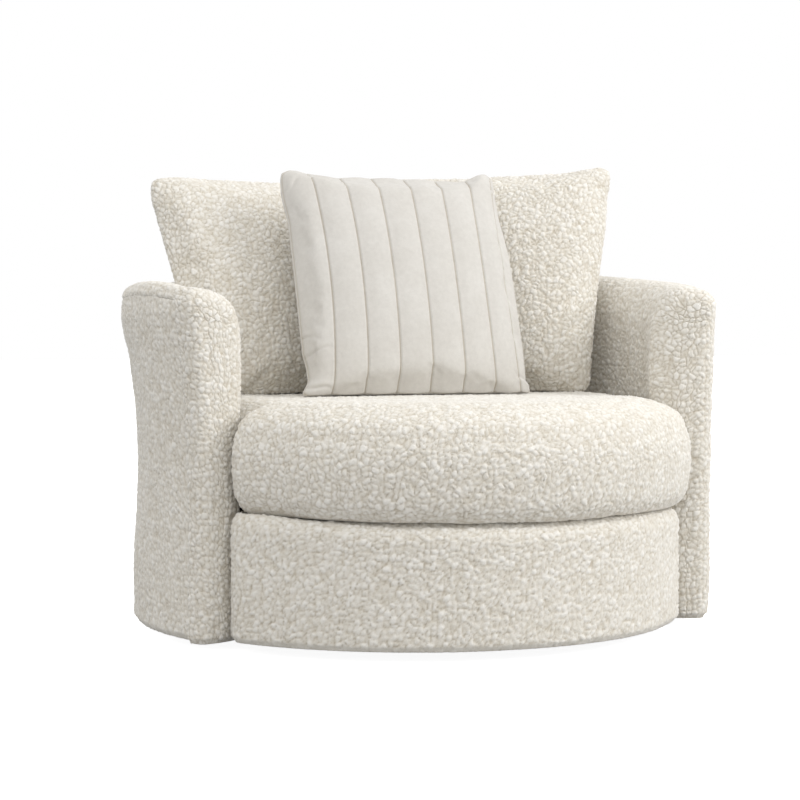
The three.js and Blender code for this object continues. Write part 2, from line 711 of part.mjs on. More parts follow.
function baseFrame() {
  const ring = new THREE.TorusGeometry(TUBE_RING_R, TUBE_R, 8, 40).translate(0, 0, TUBE_CENTRE_Z);
  const spoke = (turn) =>
    new THREE.BoxGeometry(2 * TUBE_RING_R, SPOKE_WIDTH, SPOKE_HEIGHT)
      .rotateZ(turn)
      .translate(0, 0, SPOKE_BOTTOM + SPOKE_HEIGHT / 2);
  const hub = upright(HUB_R, SPOKE_TOP - OVERRUN, HUB_TOP, 24);
  const whole = join([ring, spoke(0), spoke(Math.PI / 2), hub]);
  const holes = boltPlaces(BASE_BOLT_CIRCLE_R).map((at) =>
    upright(BOLT_R + BOLT_CLEARANCE, SPOKE_BOTTOM - OVERRUN, HUB_TOP + OVERRUN, 8, at),
  );
  const bore = upright(PIVOT_R + PIVOT_CLEARANCE, SPOKE_BOTTOM - OVERRUN, HUB_TOP + OVERRUN, 16);
  return cut(whole, [...holes, bore]);
}

// A glide is a puck with a saddle for the tube.
function glide(angle) {
  const puck = upright(GLIDE_R, 0, GLIDE_HEIGHT, 16, polar(TUBE_RING_R, angle));
  const seat = new THREE.TorusGeometry(TUBE_RING_R, TUBE_R + GAP, 8, 40).translate(0, 0, TUBE_CENTRE_Z);
  return cut(puck, [seat]);
}

function centreGlide() {
  const top = SPOKE_BOTTOM - GAP;
  const pocket = PIVOT_HEAD_R + PIVOT_CLEARANCE;
  const pocketFloor = top - PIVOT_HEAD;
  return turned(
    [[0, 0], [CENTRE_GLIDE_R, 0], [CENTRE_GLIDE_R, top], [pocket, top], [pocket, pocketFloor - GAP],
      [0, pocketFloor - GAP]],
    24,
  );
}

// A bolt with its head below or above its shank
function bolt(at, shankR, headR, [shankFrom, shankTo], [headFrom, headTo]) {
  const shank = upright(shankR, shankFrom, shankTo, 8, at);
  return join([shank, upright(headR, headFrom, headTo, 6, at)]);
}

const baseBolt = (at) =>
  bolt(at, BOLT_R, BOLT_HEAD_R, [SPOKE_BOTTOM, LOWER_PLATE_TOP + OVERRUN],
    [LOWER_PLATE_TOP + GAP, LOWER_PLATE_TOP + GAP + BOLT_HEAD]);
const frameBolt = (at) =>
  bolt(at, BOLT_R, BOLT_HEAD_R, [UPPER_PLATE_BOTTOM - OVERRUN, UPPER_PLATE_BOTTOM + FRAME_BOLT_LENGTH],
    [UPPER_PLATE_BOTTOM - GAP - BOLT_HEAD, UPPER_PLATE_BOTTOM - GAP]);
const NUT_BOTTOM = UPPER_PLATE_TOP + GAP;
const pivotBolt = () =>
  bolt([0, 0], PIVOT_R, PIVOT_HEAD_R, [SPOKE_BOTTOM - OVERRUN, NUT_BOTTOM + NUT_HEIGHT + OVERRUN],
    [SPOKE_BOTTOM - GAP - PIVOT_HEAD, SPOKE_BOTTOM - GAP]);
const pivotNut = () =>
  cut(upright(NUT_R, NUT_BOTTOM, NUT_BOTTOM + NUT_HEIGHT, 6), [
    upright(PIVOT_R + PIVOT_CLEARANCE, NUT_BOTTOM - OVERRUN, NUT_BOTTOM + NUT_HEIGHT + OVERRUN, 16),
  ]);

// Two rails cross in a half-lap joint over the swivel; each keeps the half that the other gives up.
function rail(along, [from, to], keepsLower) {
  const blank = new THREE.BoxGeometry(to - from, RAIL_WIDTH, RAIL_HEIGHT).translate(
    (from + to) / 2, 0, RAIL_BOTTOM + RAIL_HEIGHT / 2,
  );
  const lapWidth = RAIL_WIDTH + 2 * GAP;
  const lapHeight = RAIL_HEIGHT / 2 + GAP / 2;
  const lap = new THREE.BoxGeometry(lapWidth, RAIL_WIDTH + 2 * OVERRUN, lapHeight + OVERRUN).translate(
    0, 0, keepsLower
      ? RAIL_BOTTOM + RAIL_HEIGHT - lapHeight + (lapHeight + OVERRUN) / 2
      : RAIL_BOTTOM + lapHeight - (lapHeight + OVERRUN) / 2,
  );
  const pocket = upright(NUT_POCKET_R, RAIL_BOTTOM - OVERRUN, RAIL_BOTTOM + RAIL_HEIGHT + OVERRUN, 16);
  const screwHoles = [-FRAME_BOLT_CIRCLE_R, FRAME_BOLT_CIRCLE_R].map((x) =>
    upright(BOLT_R + BOLT_CLEARANCE, RAIL_BOTTOM - OVERRUN,
      UPPER_PLATE_BOTTOM + FRAME_BOLT_LENGTH + GAP, 8, [x, 0]),
  );
  return cut(blank, [lap, pocket, ...screwHoles]).rotateZ(along);
}

// Seat cushion: a thick round-fronted pad with a bullnose edge and a crown
function seatHeight(x, y) {
  const share = Math.min(Math.hypot(x, y - SEAT_CENTRE_Y) / SEAT_CROWN_R, 1);
  return SEAT_EDGE_TOP + SEAT_CROWN * (1 - share ** 4);
}

function seatCushion() {
  const outline = planOutline({
    radius: FRONT_R + SEAT_OVERHANG,
    corner: SEAT_CORNER_R,
    gap: SEAT_WALL_GAP,
    neck: INNER_R - SEAT_WALL_GAP,
    back: INNER_R - SEAT_WALL_GAP,
    arcSteps: 10,
    cornerSteps: 4,
    backSteps: 10,
  });
  const ring = (inset, z) =>
    outline.map(([x, y]) => {
      const away = Math.hypot(x, y - SEAT_CENTRE_Y);
      const share = 1 - inset / away;
      return [x * share, SEAT_CENTRE_Y + (y - SEAT_CENTRE_Y) * share, z];
    });
  const thick = SEAT_EDGE_TOP - SEAT_BOTTOM;
  const roundShares = [
    [1, 0], [0.45, 0.02], [0.12, 0.14], [0, 0.42], [0.04, 0.66], [0.3, 0.88], [0.62, 0.97],
  ];
  const rings = roundShares.map(([inset, up]) => ring(SEAT_ROUND * inset, SEAT_BOTTOM + thick * up));
  const crownShares = [0.85, 0.72, 0.55, 0.3];
  for (const share of crownShares) {
    const inner = outline.map(([x, y]) => [x * share, SEAT_CENTRE_Y + (y - SEAT_CENTRE_Y) * share]);
    rings.push(inner.map(([x, y]) => [x, y, seatHeight(x, y)]));
  }
  const middle = (z) => [0, SEAT_CENTRE_Y, z];
  return domedLoft(middle(SEAT_BOTTOM), rings, middle(seatHeight(0, SEAT_CENTRE_Y)));
}

// A knife-edge cushion: sides drawn in between its corners, crowned faces, and sewn channels if any
function knifeEdgeCushion({ width, height, thickness, across, up, taper = 0, channels = 0 }) {
  const columns = span(-1, 1, across);
  const rows = span(-1, 1, up);
  const face = (u, v, side) => {
    const tuck = CORNER_TUCK_SHARE * (u * v) ** 6;
    const x = (width / 2) * u * (1 - EDGE_DRAW_SHARE * (1 - v * v) - tuck) * (1 + taper * v);
    const z = (height / 2) * v * (1 - EDGE_DRAW_SHARE * (1 - u * u) - tuck);
    const crown = Math.sqrt((1 - u * u) * (1 - v * v)) * (1 - (u * u * v * v) / 4);
    const phase = channels ? Math.abs(Math.cos(((u + 1) / 2) * channels * Math.PI)) : 0;
    const seam = side < 0 ? CHANNEL_DEPTH * phase ** 3 * Math.min(1, 2 * crown) : 0;
    return [x, side * Math.max((thickness / 2) * crown - seam, 0), z];
  };
  const positions = [];
  const triangles = [];
  const index = new Map();
  const vertex = (i, j, side) => {
    const rim = i === 0 || j === 0 || i === across || j === up;
    const key = rim ? `${i},${j}` : `${i},${j},${side}`;
    if (!index.has(key)) {
      index.set(key, index.size);
      positions.push(...face(columns[i], rows[j], rim ? 0 : side));
    }
    return index.get(key);
  };
  for (const side of [-1, 1]) {
    for (let i = 0; i < across; i += 1) {
      for (let j = 0; j < up; j += 1) {
        const corners = [[i, j], [i + 1, j], [i + 1, j + 1], [i, j + 1]];
        const [a, b, c, d] = corners.map(([p, q]) => vertex(p, q, side));
        const outward = (i < across / 2) === (j < up / 2);
        const pair = outward ? [a, b, c, a, c, d] : [a, b, d, b, c, d];
        triangles.push(...(side < 0 ? pair : pair.reverse()));
      }
    }
  }
  return solid(positions, triangles);
}

// Sets a leaning cushion down: what would sink into the seat's crown is pressed flat on it.
function setDown(mesh) {
  mesh.updateMatrix();
  const inverse = mesh.matrix.clone().invert();
  const at = mesh.geometry.attributes.position;
  const point = new THREE.Vector3();
  for (let i = 0; i < at.count; i += 1) {
    point.fromBufferAttribute(at, i).applyMatrix4(mesh.matrix);
    point.z = Math.max(point.z, seatHeight(point.x, point.y) + GAP);
    point.applyMatrix4(inverse);
    at.setXYZ(i, point.x, point.y, point.z);
  }
  mesh.geometry.computeVertexNormals();
}

// Assembly
const group = new THREE.Group();

function add(parent, name, geometry, finish) {
  const mesh = new THREE.Mesh(geometry, finish);
  mesh.name = name;
  parent.add(mesh);
  return mesh;
}

function addSwivelBase() {
  const base = new THREE.Group();
  add(base, 'base_frame', baseFrame(), blackSteel());
  ['front', 'right', 'back', 'left'].forEach((name, i) => {
    add(base, `glide_${name}`, glide((i * Math.PI) / 2), plastic());
  });
  add(base, 'centre_glide', centreGlide(), plastic());
  add(base, 'lower_bearing_plate', lowerPlate(), steel());
  boltPlaces(BASE_BOLT_CIRCLE_R).forEach((at, i) => {
    add(base, `base_bolt_${i + 1}`, baseBolt(at), steel());
  });
  add(base, 'pivot_bolt', pivotBolt(), steel());
  add(base, 'pivot_nut', pivotNut(), steel());
  add(base, 'ball_cage', ballCage(), steel());
  group.add(base);
}

function addTimberFrame(chair) {
  add(chair, 'upper_bearing_plate', upperPlate(), steel());
  boltPlaces(FRAME_BOLT_CIRCLE_R).forEach((at, i) => {
    add(chair, `frame_bolt_${i + 1}`, frameBolt(at), steel());
  });
  const baseOutline = drumOutline(FRAME_INSET, NECK_R, WAIST_R - OUTSIDE_PADDING - SKIN_GAP);
  add(chair, 'base_ring', plate(baseOutline, BASE_RING_BOTTOM, BASE_RING_TOP, [
    { radius: RING_HOLE_R, at: [0, 0] },
  ]), plywood());
  const railReach = LEDGE_R - RAIL_END_GAP;
  add(chair, 'side_rail', rail(0, [-railReach, railReach], true), beech());
  add(chair, 'front_to_back_rail', rail(Math.PI / 2, [-railReach, railReach], false), beech());
  add(chair, 'front_panel', frontPanel(), plywood());
  const [px, py] = postCentre;
  [['front_post_right', px], ['front_post_left', -px]].forEach(([name, x]) => {
    add(chair, name, upright(POST_R, FRAME_FLOOR, DECK_BOTTOM - GAP, POST_SIDES, [x, py]), beech());
  });
  const ribNames = ['arm_board_right', 'rib_side_right', 'rib_rear_right', 'rib_back', 'rib_rear_left',
    'rib_side_left', 'arm_board_left'];
  ribAngles().forEach((angles, i) => add(chair, ribNames[i], sweepRound(ribSection, angles), plywood()));
  add(chair, 'top_hoop', sweepRound(hoopSection, wallAngles), plywood());
}

function addSuspension(chair) {
  add(chair, 'seat_deck_ring', deckRing(), plywood());
  springOffsets.forEach((x, i) => add(chair, `zigzag_spring_${i + 1}`, zigzagSpring(x), springSteel()));
  add(chair, 'tie_wire_front', tieWire(-TIE_OFFSET), springSteel());
  add(chair, 'tie_wire_rear', tieWire(TIE_OFFSET), springSteel());
  const padR = INNER_R - 2 * SKIN_GAP;
  const padOutline = drumOutline(DRUM_LIP + GAP, padR, padR);
  add(chair, 'deck_pad', plate(padOutline, PAD_BOTTOM, PAD_TOP), padCloth());
}

function addCovers(chair) {
  add(chair, 'inside_cover', sweepRound(insideCoverSection, wallAngles), boucle());
  add(chair, 'outside_cover', sweepRound(outsideCoverSection, wallAngles), boucle());
  add(chair, 'arm_facing_right', facingPanel(1), boucle());
  add(chair, 'arm_facing_left', facingPanel(-1), boucle());
  add(chair, 'drum_cover', drumCover(), boucle());
  const dustR = WAIST_R - OUTSIDE_PADDING - 2 * SKIN_GAP;
  const dustOutline = drumOutline(FRAME_INSET + GAP, NECK_R - SKIN_GAP, dustR);
  const dustTop = BASE_RING_BOTTOM - GAP;
  add(chair, 'dust_cover', plate(dustOutline, dustTop - DUST_COVER_THICKNESS, dustTop, [
    { radius: DUST_HOLE_R, at: [0, 0] },
  ]), feltCloth());
}

// Where each loose cushion stands: its middle, its turn about the upright, and its lean
const seatTop = SEAT_EDGE_TOP + SEAT_CROWN;
const standing = (height, lean, sink) =>
  seatTop + (height / 2) * Math.cos(THREE.MathUtils.degToRad(lean)) - sink;
const backY = (standoff) => INNER_R - standoff - PILLOW_THICKNESS / 2;
const LEFT_LEAN = 20;
const RIGHT_LEAN = 16;
const SCATTER_LEAN = 21;
const backPlaces = {
  back_cushion_left: {
    at: [-PILLOW_WIDTH / 2 - LEFT_ASIDE, backY(LEFT_STANDOFF),
      standing(PILLOW_HEIGHT, LEFT_LEAN, LEFT_SINK)],
    turn: 14,
    lean: LEFT_LEAN,
  },
  back_cushion_right: {
    at: [PILLOW_WIDTH / 2 + RIGHT_ASIDE, backY(RIGHT_STANDOFF),
      standing(PILLOW_HEIGHT, RIGHT_LEAN, RIGHT_SINK)],
    turn: -27,
    lean: RIGHT_LEAN,
  },
};
const scatterY = backY(LEFT_STANDOFF) - (PILLOW_THICKNESS + SCATTER_THICKNESS) / 2 - SCATTER_OVERLAP;
const scatterPlace = {
  at: [-SCATTER_ASIDE, scatterY, standing(SCATTER_HEIGHT, SCATTER_LEAN, SCATTER_SINK)],
  turn: 0,
  lean: SCATTER_LEAN,
};

function stand(mesh, { at, turn, lean }) {
  const [x, z] = [-lean, turn].map(THREE.MathUtils.degToRad);
  mesh.position.set(...at);
  mesh.rotation.set(x, 0, z, 'ZXY');
  setDown(mesh);
}

function addCushions() {
  add(group, 'seat_cushion', seatCushion(), boucle());
  for (const [name, place] of Object.entries(backPlaces)) {
    const geometry = knifeEdgeCushion({
      width: PILLOW_WIDTH, height: PILLOW_HEIGHT, thickness: PILLOW_THICKNESS, across: 14, up: 14,
      taper: PILLOW_TAPER_SHARE,
    });
    stand(add(group, name, geometry, boucle()), place);
  }
  const scatter = knifeEdgeCushion({
    width: SCATTER_WIDTH, height: SCATTER_HEIGHT, thickness: SCATTER_THICKNESS,
    across: 3 * CHANNEL_COUNT, up: 10, channels: CHANNEL_COUNT,
  });
  stand(add(group, 'scatter_cushion', scatter, velvet()), scatterPlace);
}

addSwivelBase();
const chair = new THREE.Group();
addTimberFrame(chair);
addSuspension(chair);
addCovers(chair);
group.add(chair);
addCushions();

export default group;
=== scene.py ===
"""Swivel cuddle chair in looped wool and velvet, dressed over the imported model. Metres, front towards -Y."""
import json
import math

import bpy
import numpy as np
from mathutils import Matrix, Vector


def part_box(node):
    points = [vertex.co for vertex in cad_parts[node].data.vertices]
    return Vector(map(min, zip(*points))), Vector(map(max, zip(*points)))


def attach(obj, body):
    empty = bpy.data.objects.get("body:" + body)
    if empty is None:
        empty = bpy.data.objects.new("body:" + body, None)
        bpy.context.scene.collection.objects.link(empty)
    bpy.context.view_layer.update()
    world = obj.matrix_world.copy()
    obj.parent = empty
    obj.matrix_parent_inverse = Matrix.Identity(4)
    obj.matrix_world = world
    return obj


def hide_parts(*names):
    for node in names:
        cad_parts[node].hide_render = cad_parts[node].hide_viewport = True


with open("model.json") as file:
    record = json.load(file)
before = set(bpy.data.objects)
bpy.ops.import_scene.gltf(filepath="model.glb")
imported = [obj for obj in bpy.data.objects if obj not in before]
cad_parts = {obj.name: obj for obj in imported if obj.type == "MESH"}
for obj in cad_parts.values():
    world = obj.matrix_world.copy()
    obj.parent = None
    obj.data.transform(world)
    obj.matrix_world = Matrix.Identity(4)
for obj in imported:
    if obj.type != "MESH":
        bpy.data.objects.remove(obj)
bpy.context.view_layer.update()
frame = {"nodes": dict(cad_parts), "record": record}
scene = bpy.context.scene
scene.view_settings.view_transform = "Standard"

# Camera at the photograph's angle
CAMERA_TURN = math.radians(19.3)
CAMERA_PAN = math.radians(-0.56)
CAMERA_TILT = math.radians(-2.2)
CAMERA_DISTANCE, CAMERA_HEIGHT = 4.0, 0.61
LENS = 87.6

camera_data = bpy.data.cameras.new("camera")
camera_data.lens = LENS
camera_data.sensor_width = 36
camera = bpy.data.objects.new("camera", camera_data)
camera.location = (
    -CAMERA_DISTANCE * math.sin(CAMERA_TURN),
    -CAMERA_DISTANCE * math.cos(CAMERA_TURN),
    CAMERA_HEIGHT,
)
camera.rotation_euler = (math.pi / 2 + CAMERA_TILT, 0, -(CAMERA_TURN + CAMERA_PAN))
scene.collection.objects.link(camera)
scene.camera = camera

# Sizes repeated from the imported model
ARM_ANGLE = math.radians(62.5)
FLOOR_GAP = 0.022
INNER_R, WAIST_R = 0.485, 0.577
FOOT_FLARE, TOP_FLARE = 0.007, 0.029
WAIST_SHARE, FLARE_POWER = 0.38, 1.8
ARM_TOP, RIM_RISE, RIM_POWER = 0.676, 0.066, 1.4
SEAM_DROP = 0.028
ROLL_WIDTH, ROLL_DROP, ROLL_EDGE = 0.090, 0.095, 0.031
CREST_R = INNER_R + ROLL_WIDTH
SEAM_R = CREST_R + ROLL_EDGE
FRONT_CENTRE_Y, FRONT_R, FRONT_CORNER_R = 0.035, 0.565, 0.050
DRUM_TOP, DRUM_ROUND, DRUM_ROUND_IN, DRUM_LIP = 0.2565, 0.034, 0.020, 0.045
SEAT_CENTRE_Y, SEAT_CROWN_R = -0.060, 0.500
SEAT_EDGE_TOP, SEAT_CROWN = 0.455, 0.017
SCATTER_WIDTH, SCATTER_HEIGHT, CHANNELS = 0.486, 0.488, 8
PLACES = {
    "left": (np.array([-0.252, 0.214, 0.6876]), math.radians(14), math.radians(20)),
    "right": (np.array([0.242, 0.193, 0.7071]), math.radians(-27), math.radians(16)),
    "scatter": (np.array([-0.029, 0.001, 0.6918]), 0.0, math.radians(21)),
}

# Bouclé: loop sizes, the share of a loop's height that lies level with the imported form, and its seams, with
# the level of painted shade along them
LOOP_SIZE = 0.0112
LOOP_HEIGHT = 0.0046
LOOP_REST = 0.75
MESH_STEP = 0.003
SEAM_SINK, SEAM_SHADE_NUB = 0.0015, 0.62
SEAM_FADE = 0.006
FOOT_TUCK, FOOT_ROUND = 0.008, 0.012

# Pull-over cover: shares of its length that run straight up, over the roll and down to the seam
PULL_STRAIGHT, PULL_ROLL, PULL_EDGE = 0.66, 0.25, 0.09
PULL_LENGTH, PULL_FOOT = 0.55, 0.235
ROLL_FULLNESS = 0.8
INSIDE_DEPTH, OUTSIDE_DEPTH = 0.022, 0.014

# Scatter cushion: puckers (across, up, turn, length, depth), seams as shares of its half width
PUCKERS = (
    (-0.215, -0.155, 0.12, 0.030, 0.0014),
    (-0.215, -0.226, -0.25, 0.026, 0.0022),
    (0.225, -0.21, 2.6, 0.020, 0.0025),
    (-0.232, -0.120, -0.5, 0.014, 0.0012),
    (-0.220, 0.215, 0.7, 0.018, 0.002),
    (0.222, 0.21, 2.4, 0.016, 0.002),
)
SEWN = (-0.76, -0.48, -0.20, 0.09, 0.38, 0.66, 0.90)
SEAM_DEPTH, SEAM_HALF_WIDTH = 0.003, 0.0019
DIP_DEPTH, DIP_HALF_WIDTH = 0.0032, 0.016
EDGE_SEAM_DEPTH, EDGE_SEAM_HALF_WIDTH = 0.0018, 0.0025
CREASE_HALF_WIDTH, RIDGE_OFF, RIDGE_HALF_WIDTH = 0.0035, 0.008, 0.006
FRONT_FADE = 0.012
CHANNEL_DEPTH = 0.009

# All cushions: cloth frames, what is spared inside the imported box, and how far their feet go down
CLOTH_FRAMES = 20
CUSHION_SPARE, SEAT_SPARE = 0.001, 0.004
FOOT_DOWN, SEAT_OVERHANG = 0.012, 0.014

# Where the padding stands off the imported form: degrees round from the front, or heights, and metres
RIM_LIFT_RIGHT = (
    (62, 70, 75, 80, 90, 115, 130, 150, 180),
    (0.001, 0.003, 0.0055, 0.009, 0.0105, 0.0095, 0.006, 0, 0),
)
RIM_LIFT_LEFT = (
    (62, 66, 70, 75, 80, 85, 90, 95, 100, 110, 120, 130, 145, 165, 180),
    (0, 0.0045, 0.0085, 0.011, 0.0105, 0.0075, 0.0025, -0.0035, -0.009, -0.0165, -0.021, -0.021, -0.014, 0, 0),
)
ARM_SWELL_RIGHT = (
    (0.02, 0.05, 0.10, 0.20, 0.30, 0.35, 0.41, 0.45, 0.52, 0.56, 0.60, 0.635, 0.66),
    (0.005, 0.009, 0.014, 0.016, 0.016, 0.016, 0.0125, 0.0115, 0.0075, 0.0040, 0.0005, -0.002, -0.004),
)
ARM_SWELL_LEFT = (
    (0.02, 0.05, 0.20, 0.35, 0.45, 0.55, 0.60, 0.635, 0.66),
    (0.0007, 0.0014, 0.003, 0.004, 0.004, 0.004, 0.0055, 0.0045, -0.0015),
)
WALL_SWELL_LEFT = (
    (0.05, 0.12, 0.17, 0.22, 0.28, 0.34, 0.40, 0.45, 0.50, 0.56, 0.59, 0.625, 0.66),
    (0, 0.004, 0.004, 0.001, -0.002, -0.005, -0.006, -0.006, -0.004, -0.002, 0.003, 0.0045, -0.002),
)
ROLL_DIP_LEFT = (0.70, 0.763, 0.785, 0.832, 0.88, 0.915, 0.95), (0, 0.001, 0.005, 0.009, 0.008, 0.003, 0)
ROLL_DIP_RIGHT = (0.68, 0.72, 0.75, 0.785, 0.832, 0.88, 0.915), (0, -0.006, -0.010, -0.010, -0.006, -0.001, 0)
SEAM_SAG = (
    (-56, -50, -45, -40, -35, -30, -22, -10, 0, 10, 20, 35, 60),
    (0.007, 0.007, 0.004, 0, -0.002, -0.0055, -0.009, -0.010, -0.0125, -0.013, -0.0115, -0.009, -0.009),
)
DRUM_RIGHT_IN, SEAT_LEFT_IN = 0.011, 0.013

# Arm ends: radii of their rounded edges, the padding's bulge, and how far back they reach
END_ROUND, END_ROUND_IN, END_ROUND_FOOT = 0.030, 0.038, 0.012
END_BULGE = 0.009
END_FOOT = FLOOR_GAP - 0.005
END_MIDDLE_DROP = 0.060
SEAM_BACK_IN = 0.075
SEAM_BACK_OUT = 0.049

# Deck pad and dust cover
QUILT, STITCH_DEPTH, STITCH_HALF_WIDTH, PAD_SPARE = 0.10, 0.002, 0.006, 0.0005
DUST_HOLE_R, DUST_INSET = 0.3205, 0.0226
DUST_NECK_R, DUST_BACK_R = 0.477, 0.565
DUST_TOP, DUST_THICK, DUST_SAG = 0.0255, 0.0008, 0.0012


# Helpers
def smooth(x):
    """Eases from 0 to 1."""
    x = np.clip(x, 0, 1)
    return x * x * (3 - 2 * x)


def hashed(cell, salt):
    """A number from 0 to 1 for each whole-number cell."""
    n = cell.astype(np.int64)
    h = (n[:, 0] * 73856093) ^ (n[:, 1] * 19349663) ^ (n[:, 2] * 83492791) ^ (salt * 2654435761)
    h &= 0xFFFFFFFF
    h ^= h >> 15
    h = (h * 0x2C1B3C6D) & 0xFFFFFFFF
    h ^= h >> 12
    h = (h * 0x297A2D39) & 0xFFFFFFFF
    h ^= h >> 15
    return h / 0xFFFFFFFF


def cells(points):
    """Depth in from the nearest cell border, from 0 to about 1, and a number per cell."""
    base = np.floor(points)
    near = np.full(len(points), 9.0)
    second = np.full(len(points), 9.0)
    tone = np.zeros(len(points))
    for i in (-1, 0, 1):
        for j in (-1, 0, 1):
            for k in (-1, 0, 1):
                cell = base + (i, j, k)
                seed = cell + 0.1 + 0.8 * np.stack([hashed(cell, s) for s in (1, 2, 3)], 1)
                far = ((seed - points) ** 2).sum(1)
                closer = far < near
                second = np.where(closer, near, np.minimum(second, far))
                tone = np.where(closer, hashed(cell, 4), tone)
                near = np.where(closer, far, near)
    return np.sqrt(second) - np.sqrt(near), tone


def loops(points, size):
    """Height from 0 in the crevices to 1 on top of each curled loop of yarn, and a number per loop."""
    q = points / size
    q = q + 0.3 * np.sin(q[:, [1, 2, 0]] * 0.9 + 1.3) + 0.11 * np.sin(q[:, [2, 0, 1]] * 3.7 + 0.6)
    depth, tone = cells(q)
    width = 0.62 + 0.22 * np.sin(q[:, 0] * 2.1 + 1.7 * np.sin(q[:, 1] * 1.3)) * np.sin(q[:, 2] * 1.9 + q[:, 1])
    loop = np.sqrt(1 - (1 - np.clip(depth / width, 0, 1)) ** 2)
    fine, _ = cells(q * 2.3 + 5)
    curl = np.sqrt(1 - (1 - np.clip(fine / 0.7, 0, 1)) ** 2)
    return loop * (0.52 + 0.22 * tone + 0.26 * curl), tone


def grid_normals(grid):
    """Unit normals of a grid of points, from its own slopes."""
    along = np.gradient(grid, axis=0)
    across = np.gradient(grid, axis=1)
    normal = np.cross(along, across)
    return normal / np.maximum(np.linalg.norm(normal, axis=2, keepdims=True), 1e-12)


def make_object(name, points, faces, nub=None, tone=None):
    mesh = bpy.data.meshes.new(name)
    points = np.asarray(points, dtype=np.float32).reshape(-1, 3)
    mesh.vertices.add(len(points))
    mesh.vertices.foreach_set("co", points.ravel())
    counts = np.array([len(f) for f in faces], dtype=np.int32)
    starts = np.concatenate([[0], np.cumsum(counts)[:-1]]).astype(np.int32)
    mesh.loops.add(int(counts.sum()))
    mesh.loops.foreach_set("vertex_index", np.concatenate([np.asarray(f) for f in faces]).astype(np.int32))
    mesh.polygons.add(len(counts))
    mesh.polygons.foreach_set("loop_start", starts)
    mesh.polygons.foreach_set("use_smooth", np.ones(len(counts), dtype=bool))
    mesh.update(calc_edges=True)
    mesh.validate()
    obj = bpy.data.objects.new(name, mesh)
    scene.collection.objects.link(obj)
    mark_loops(obj, nub, tone)
    return obj


def mark_loops(obj, nub, tone):
    # The nub attribute is what the materials turn into painted shade, in the crevices between loops and along
    # seams; tone is a random tone for each loop.
    for label, values in (("nub", nub), ("tone", tone)):
        if values is not None:
            layer = obj.data.attributes.new(label, "FLOAT", "POINT")
            layer.data.foreach_set("value", np.asarray(values, dtype=np.float32).ravel())


def loft_faces(rings, count):
    """Quads between closed rings of points."""
    i = np.arange(count)
    j = (i + 1) % count
    faces = []
    for k in range(rings - 1):
        a, b = k * count, (k + 1) * count
        faces.extend(np.stack([a + i, a + j, b + j, b + i], 1))
    return faces


def flip_if_inside_out(obj):
    import bmesh
    bm = bmesh.new()
    bm.from_mesh(obj.data)
    bmesh.ops.recalc_face_normals(bm, faces=bm.faces)
    if bm.calc_volume(signed=True) < 0:
        bmesh.ops.reverse_faces(bm, faces=bm.faces)
    bm.to_mesh(obj.data)
    bm.free()


def cover_piece(name, grid, sink, hidden, outward):
    """A closed piece: a looped face on a grid, with hidden rows that close each ring and flat ends.

    sink is how far each grid point is drawn in at a seam, and hidden the rows of back points.
    """
    normal = grid_normals(grid) * outward
    nub, tone = loops(grid.reshape(-1, 3), LOOP_SIZE)
    nub = nub.reshape(grid.shape[:2])
    tone = tone.reshape(grid.shape[:2])
    lift = LOOP_HEIGHT * (nub - LOOP_REST) - sink
    face = grid + normal * lift[:, :, None]
    rings = np.concatenate([face, hidden], axis=1)
    flat = np.zeros(hidden.shape[:2])
    # Painted shade along seams: there the nub values are drawn towards one level, which evens out the painted
    # crevice shade and paints the seam line a little darker than the open face.
    nub = nub + 0.8 * (SEAM_SHADE_NUB - nub) * np.clip(sink / SEAM_SINK, 0, 1)
    nub = np.concatenate([nub, flat + 0.5], 1)
    tone = np.concatenate([tone, flat + 0.5], 1)
    count = rings.shape[1]
    faces = loft_faces(len(rings), count)
    faces.append(np.arange(count))
    faces.append(np.arange(count)[::-1] + (len(rings) - 1) * count)
    obj = make_object(name, rings, faces, nub, tone)
    flip_if_inside_out(obj)
    return obj


# Barrel forms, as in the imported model
def rim_height(angle):
    """Height of the padded rim: the photographed chair's padding stands differently on each side."""
    from_front = np.minimum(angle, 2 * np.pi - angle)
    share = np.clip((from_front - ARM_ANGLE) / (np.pi - ARM_ANGLE), 0, 1)
    turned = np.degrees(from_front)
    lift = np.where(angle < np.pi, np.interp(turned, *RIM_LIFT_RIGHT), np.interp(turned, *RIM_LIFT_LEFT))
    return ARM_TOP + RIM_RISE * np.sin(np.pi / 2 * share) ** RIM_POWER + lift


def outer_radius(z, rim):
    share = (z - FLOOR_GAP) / (rim - SEAM_DROP - FLOOR_GAP)
    low = WAIST_R + FOOT_FLARE * (np.clip(WAIST_SHARE - share, 0, 1) / WAIST_SHARE) ** 2
    high = WAIST_R + TOP_FLARE * (np.clip(share - WAIST_SHARE, 0, 1) / (1 - WAIST_SHARE)) ** FLARE_POWER
    return np.where(share < WAIST_SHARE, low, high)


def arm_swell(z, angle):
    """How far the padding stands out near the arm's front, and along the left side's wall."""
    turned = np.degrees(np.minimum(angle, 2 * np.pi - angle))
    swell = np.where(angle < np.pi, np.interp(z, *ARM_SWELL_RIGHT), np.interp(z, *ARM_SWELL_LEFT))
    wall = np.where(angle < np.pi, 0, np.interp(z, *WALL_SWELL_LEFT))
    along = smooth((turned - 78) / 15) * (1 - smooth((turned - 150) / 25))
    return swell * (1 - smooth((turned - 70) / 28)) + wall * along


def inner_swell(z, angle, share):
    """How far the padding stands in near the arm's front, above the seat."""
    turned = np.degrees(np.minimum(angle, 2 * np.pi - angle))
    above_seat, at_front = smooth((z - 0.40) / 0.08), 1 - smooth((turned - 67) / 16)
    return 0.007 * above_seat * at_front * (1 - smooth((share - 0.58) / 0.26))


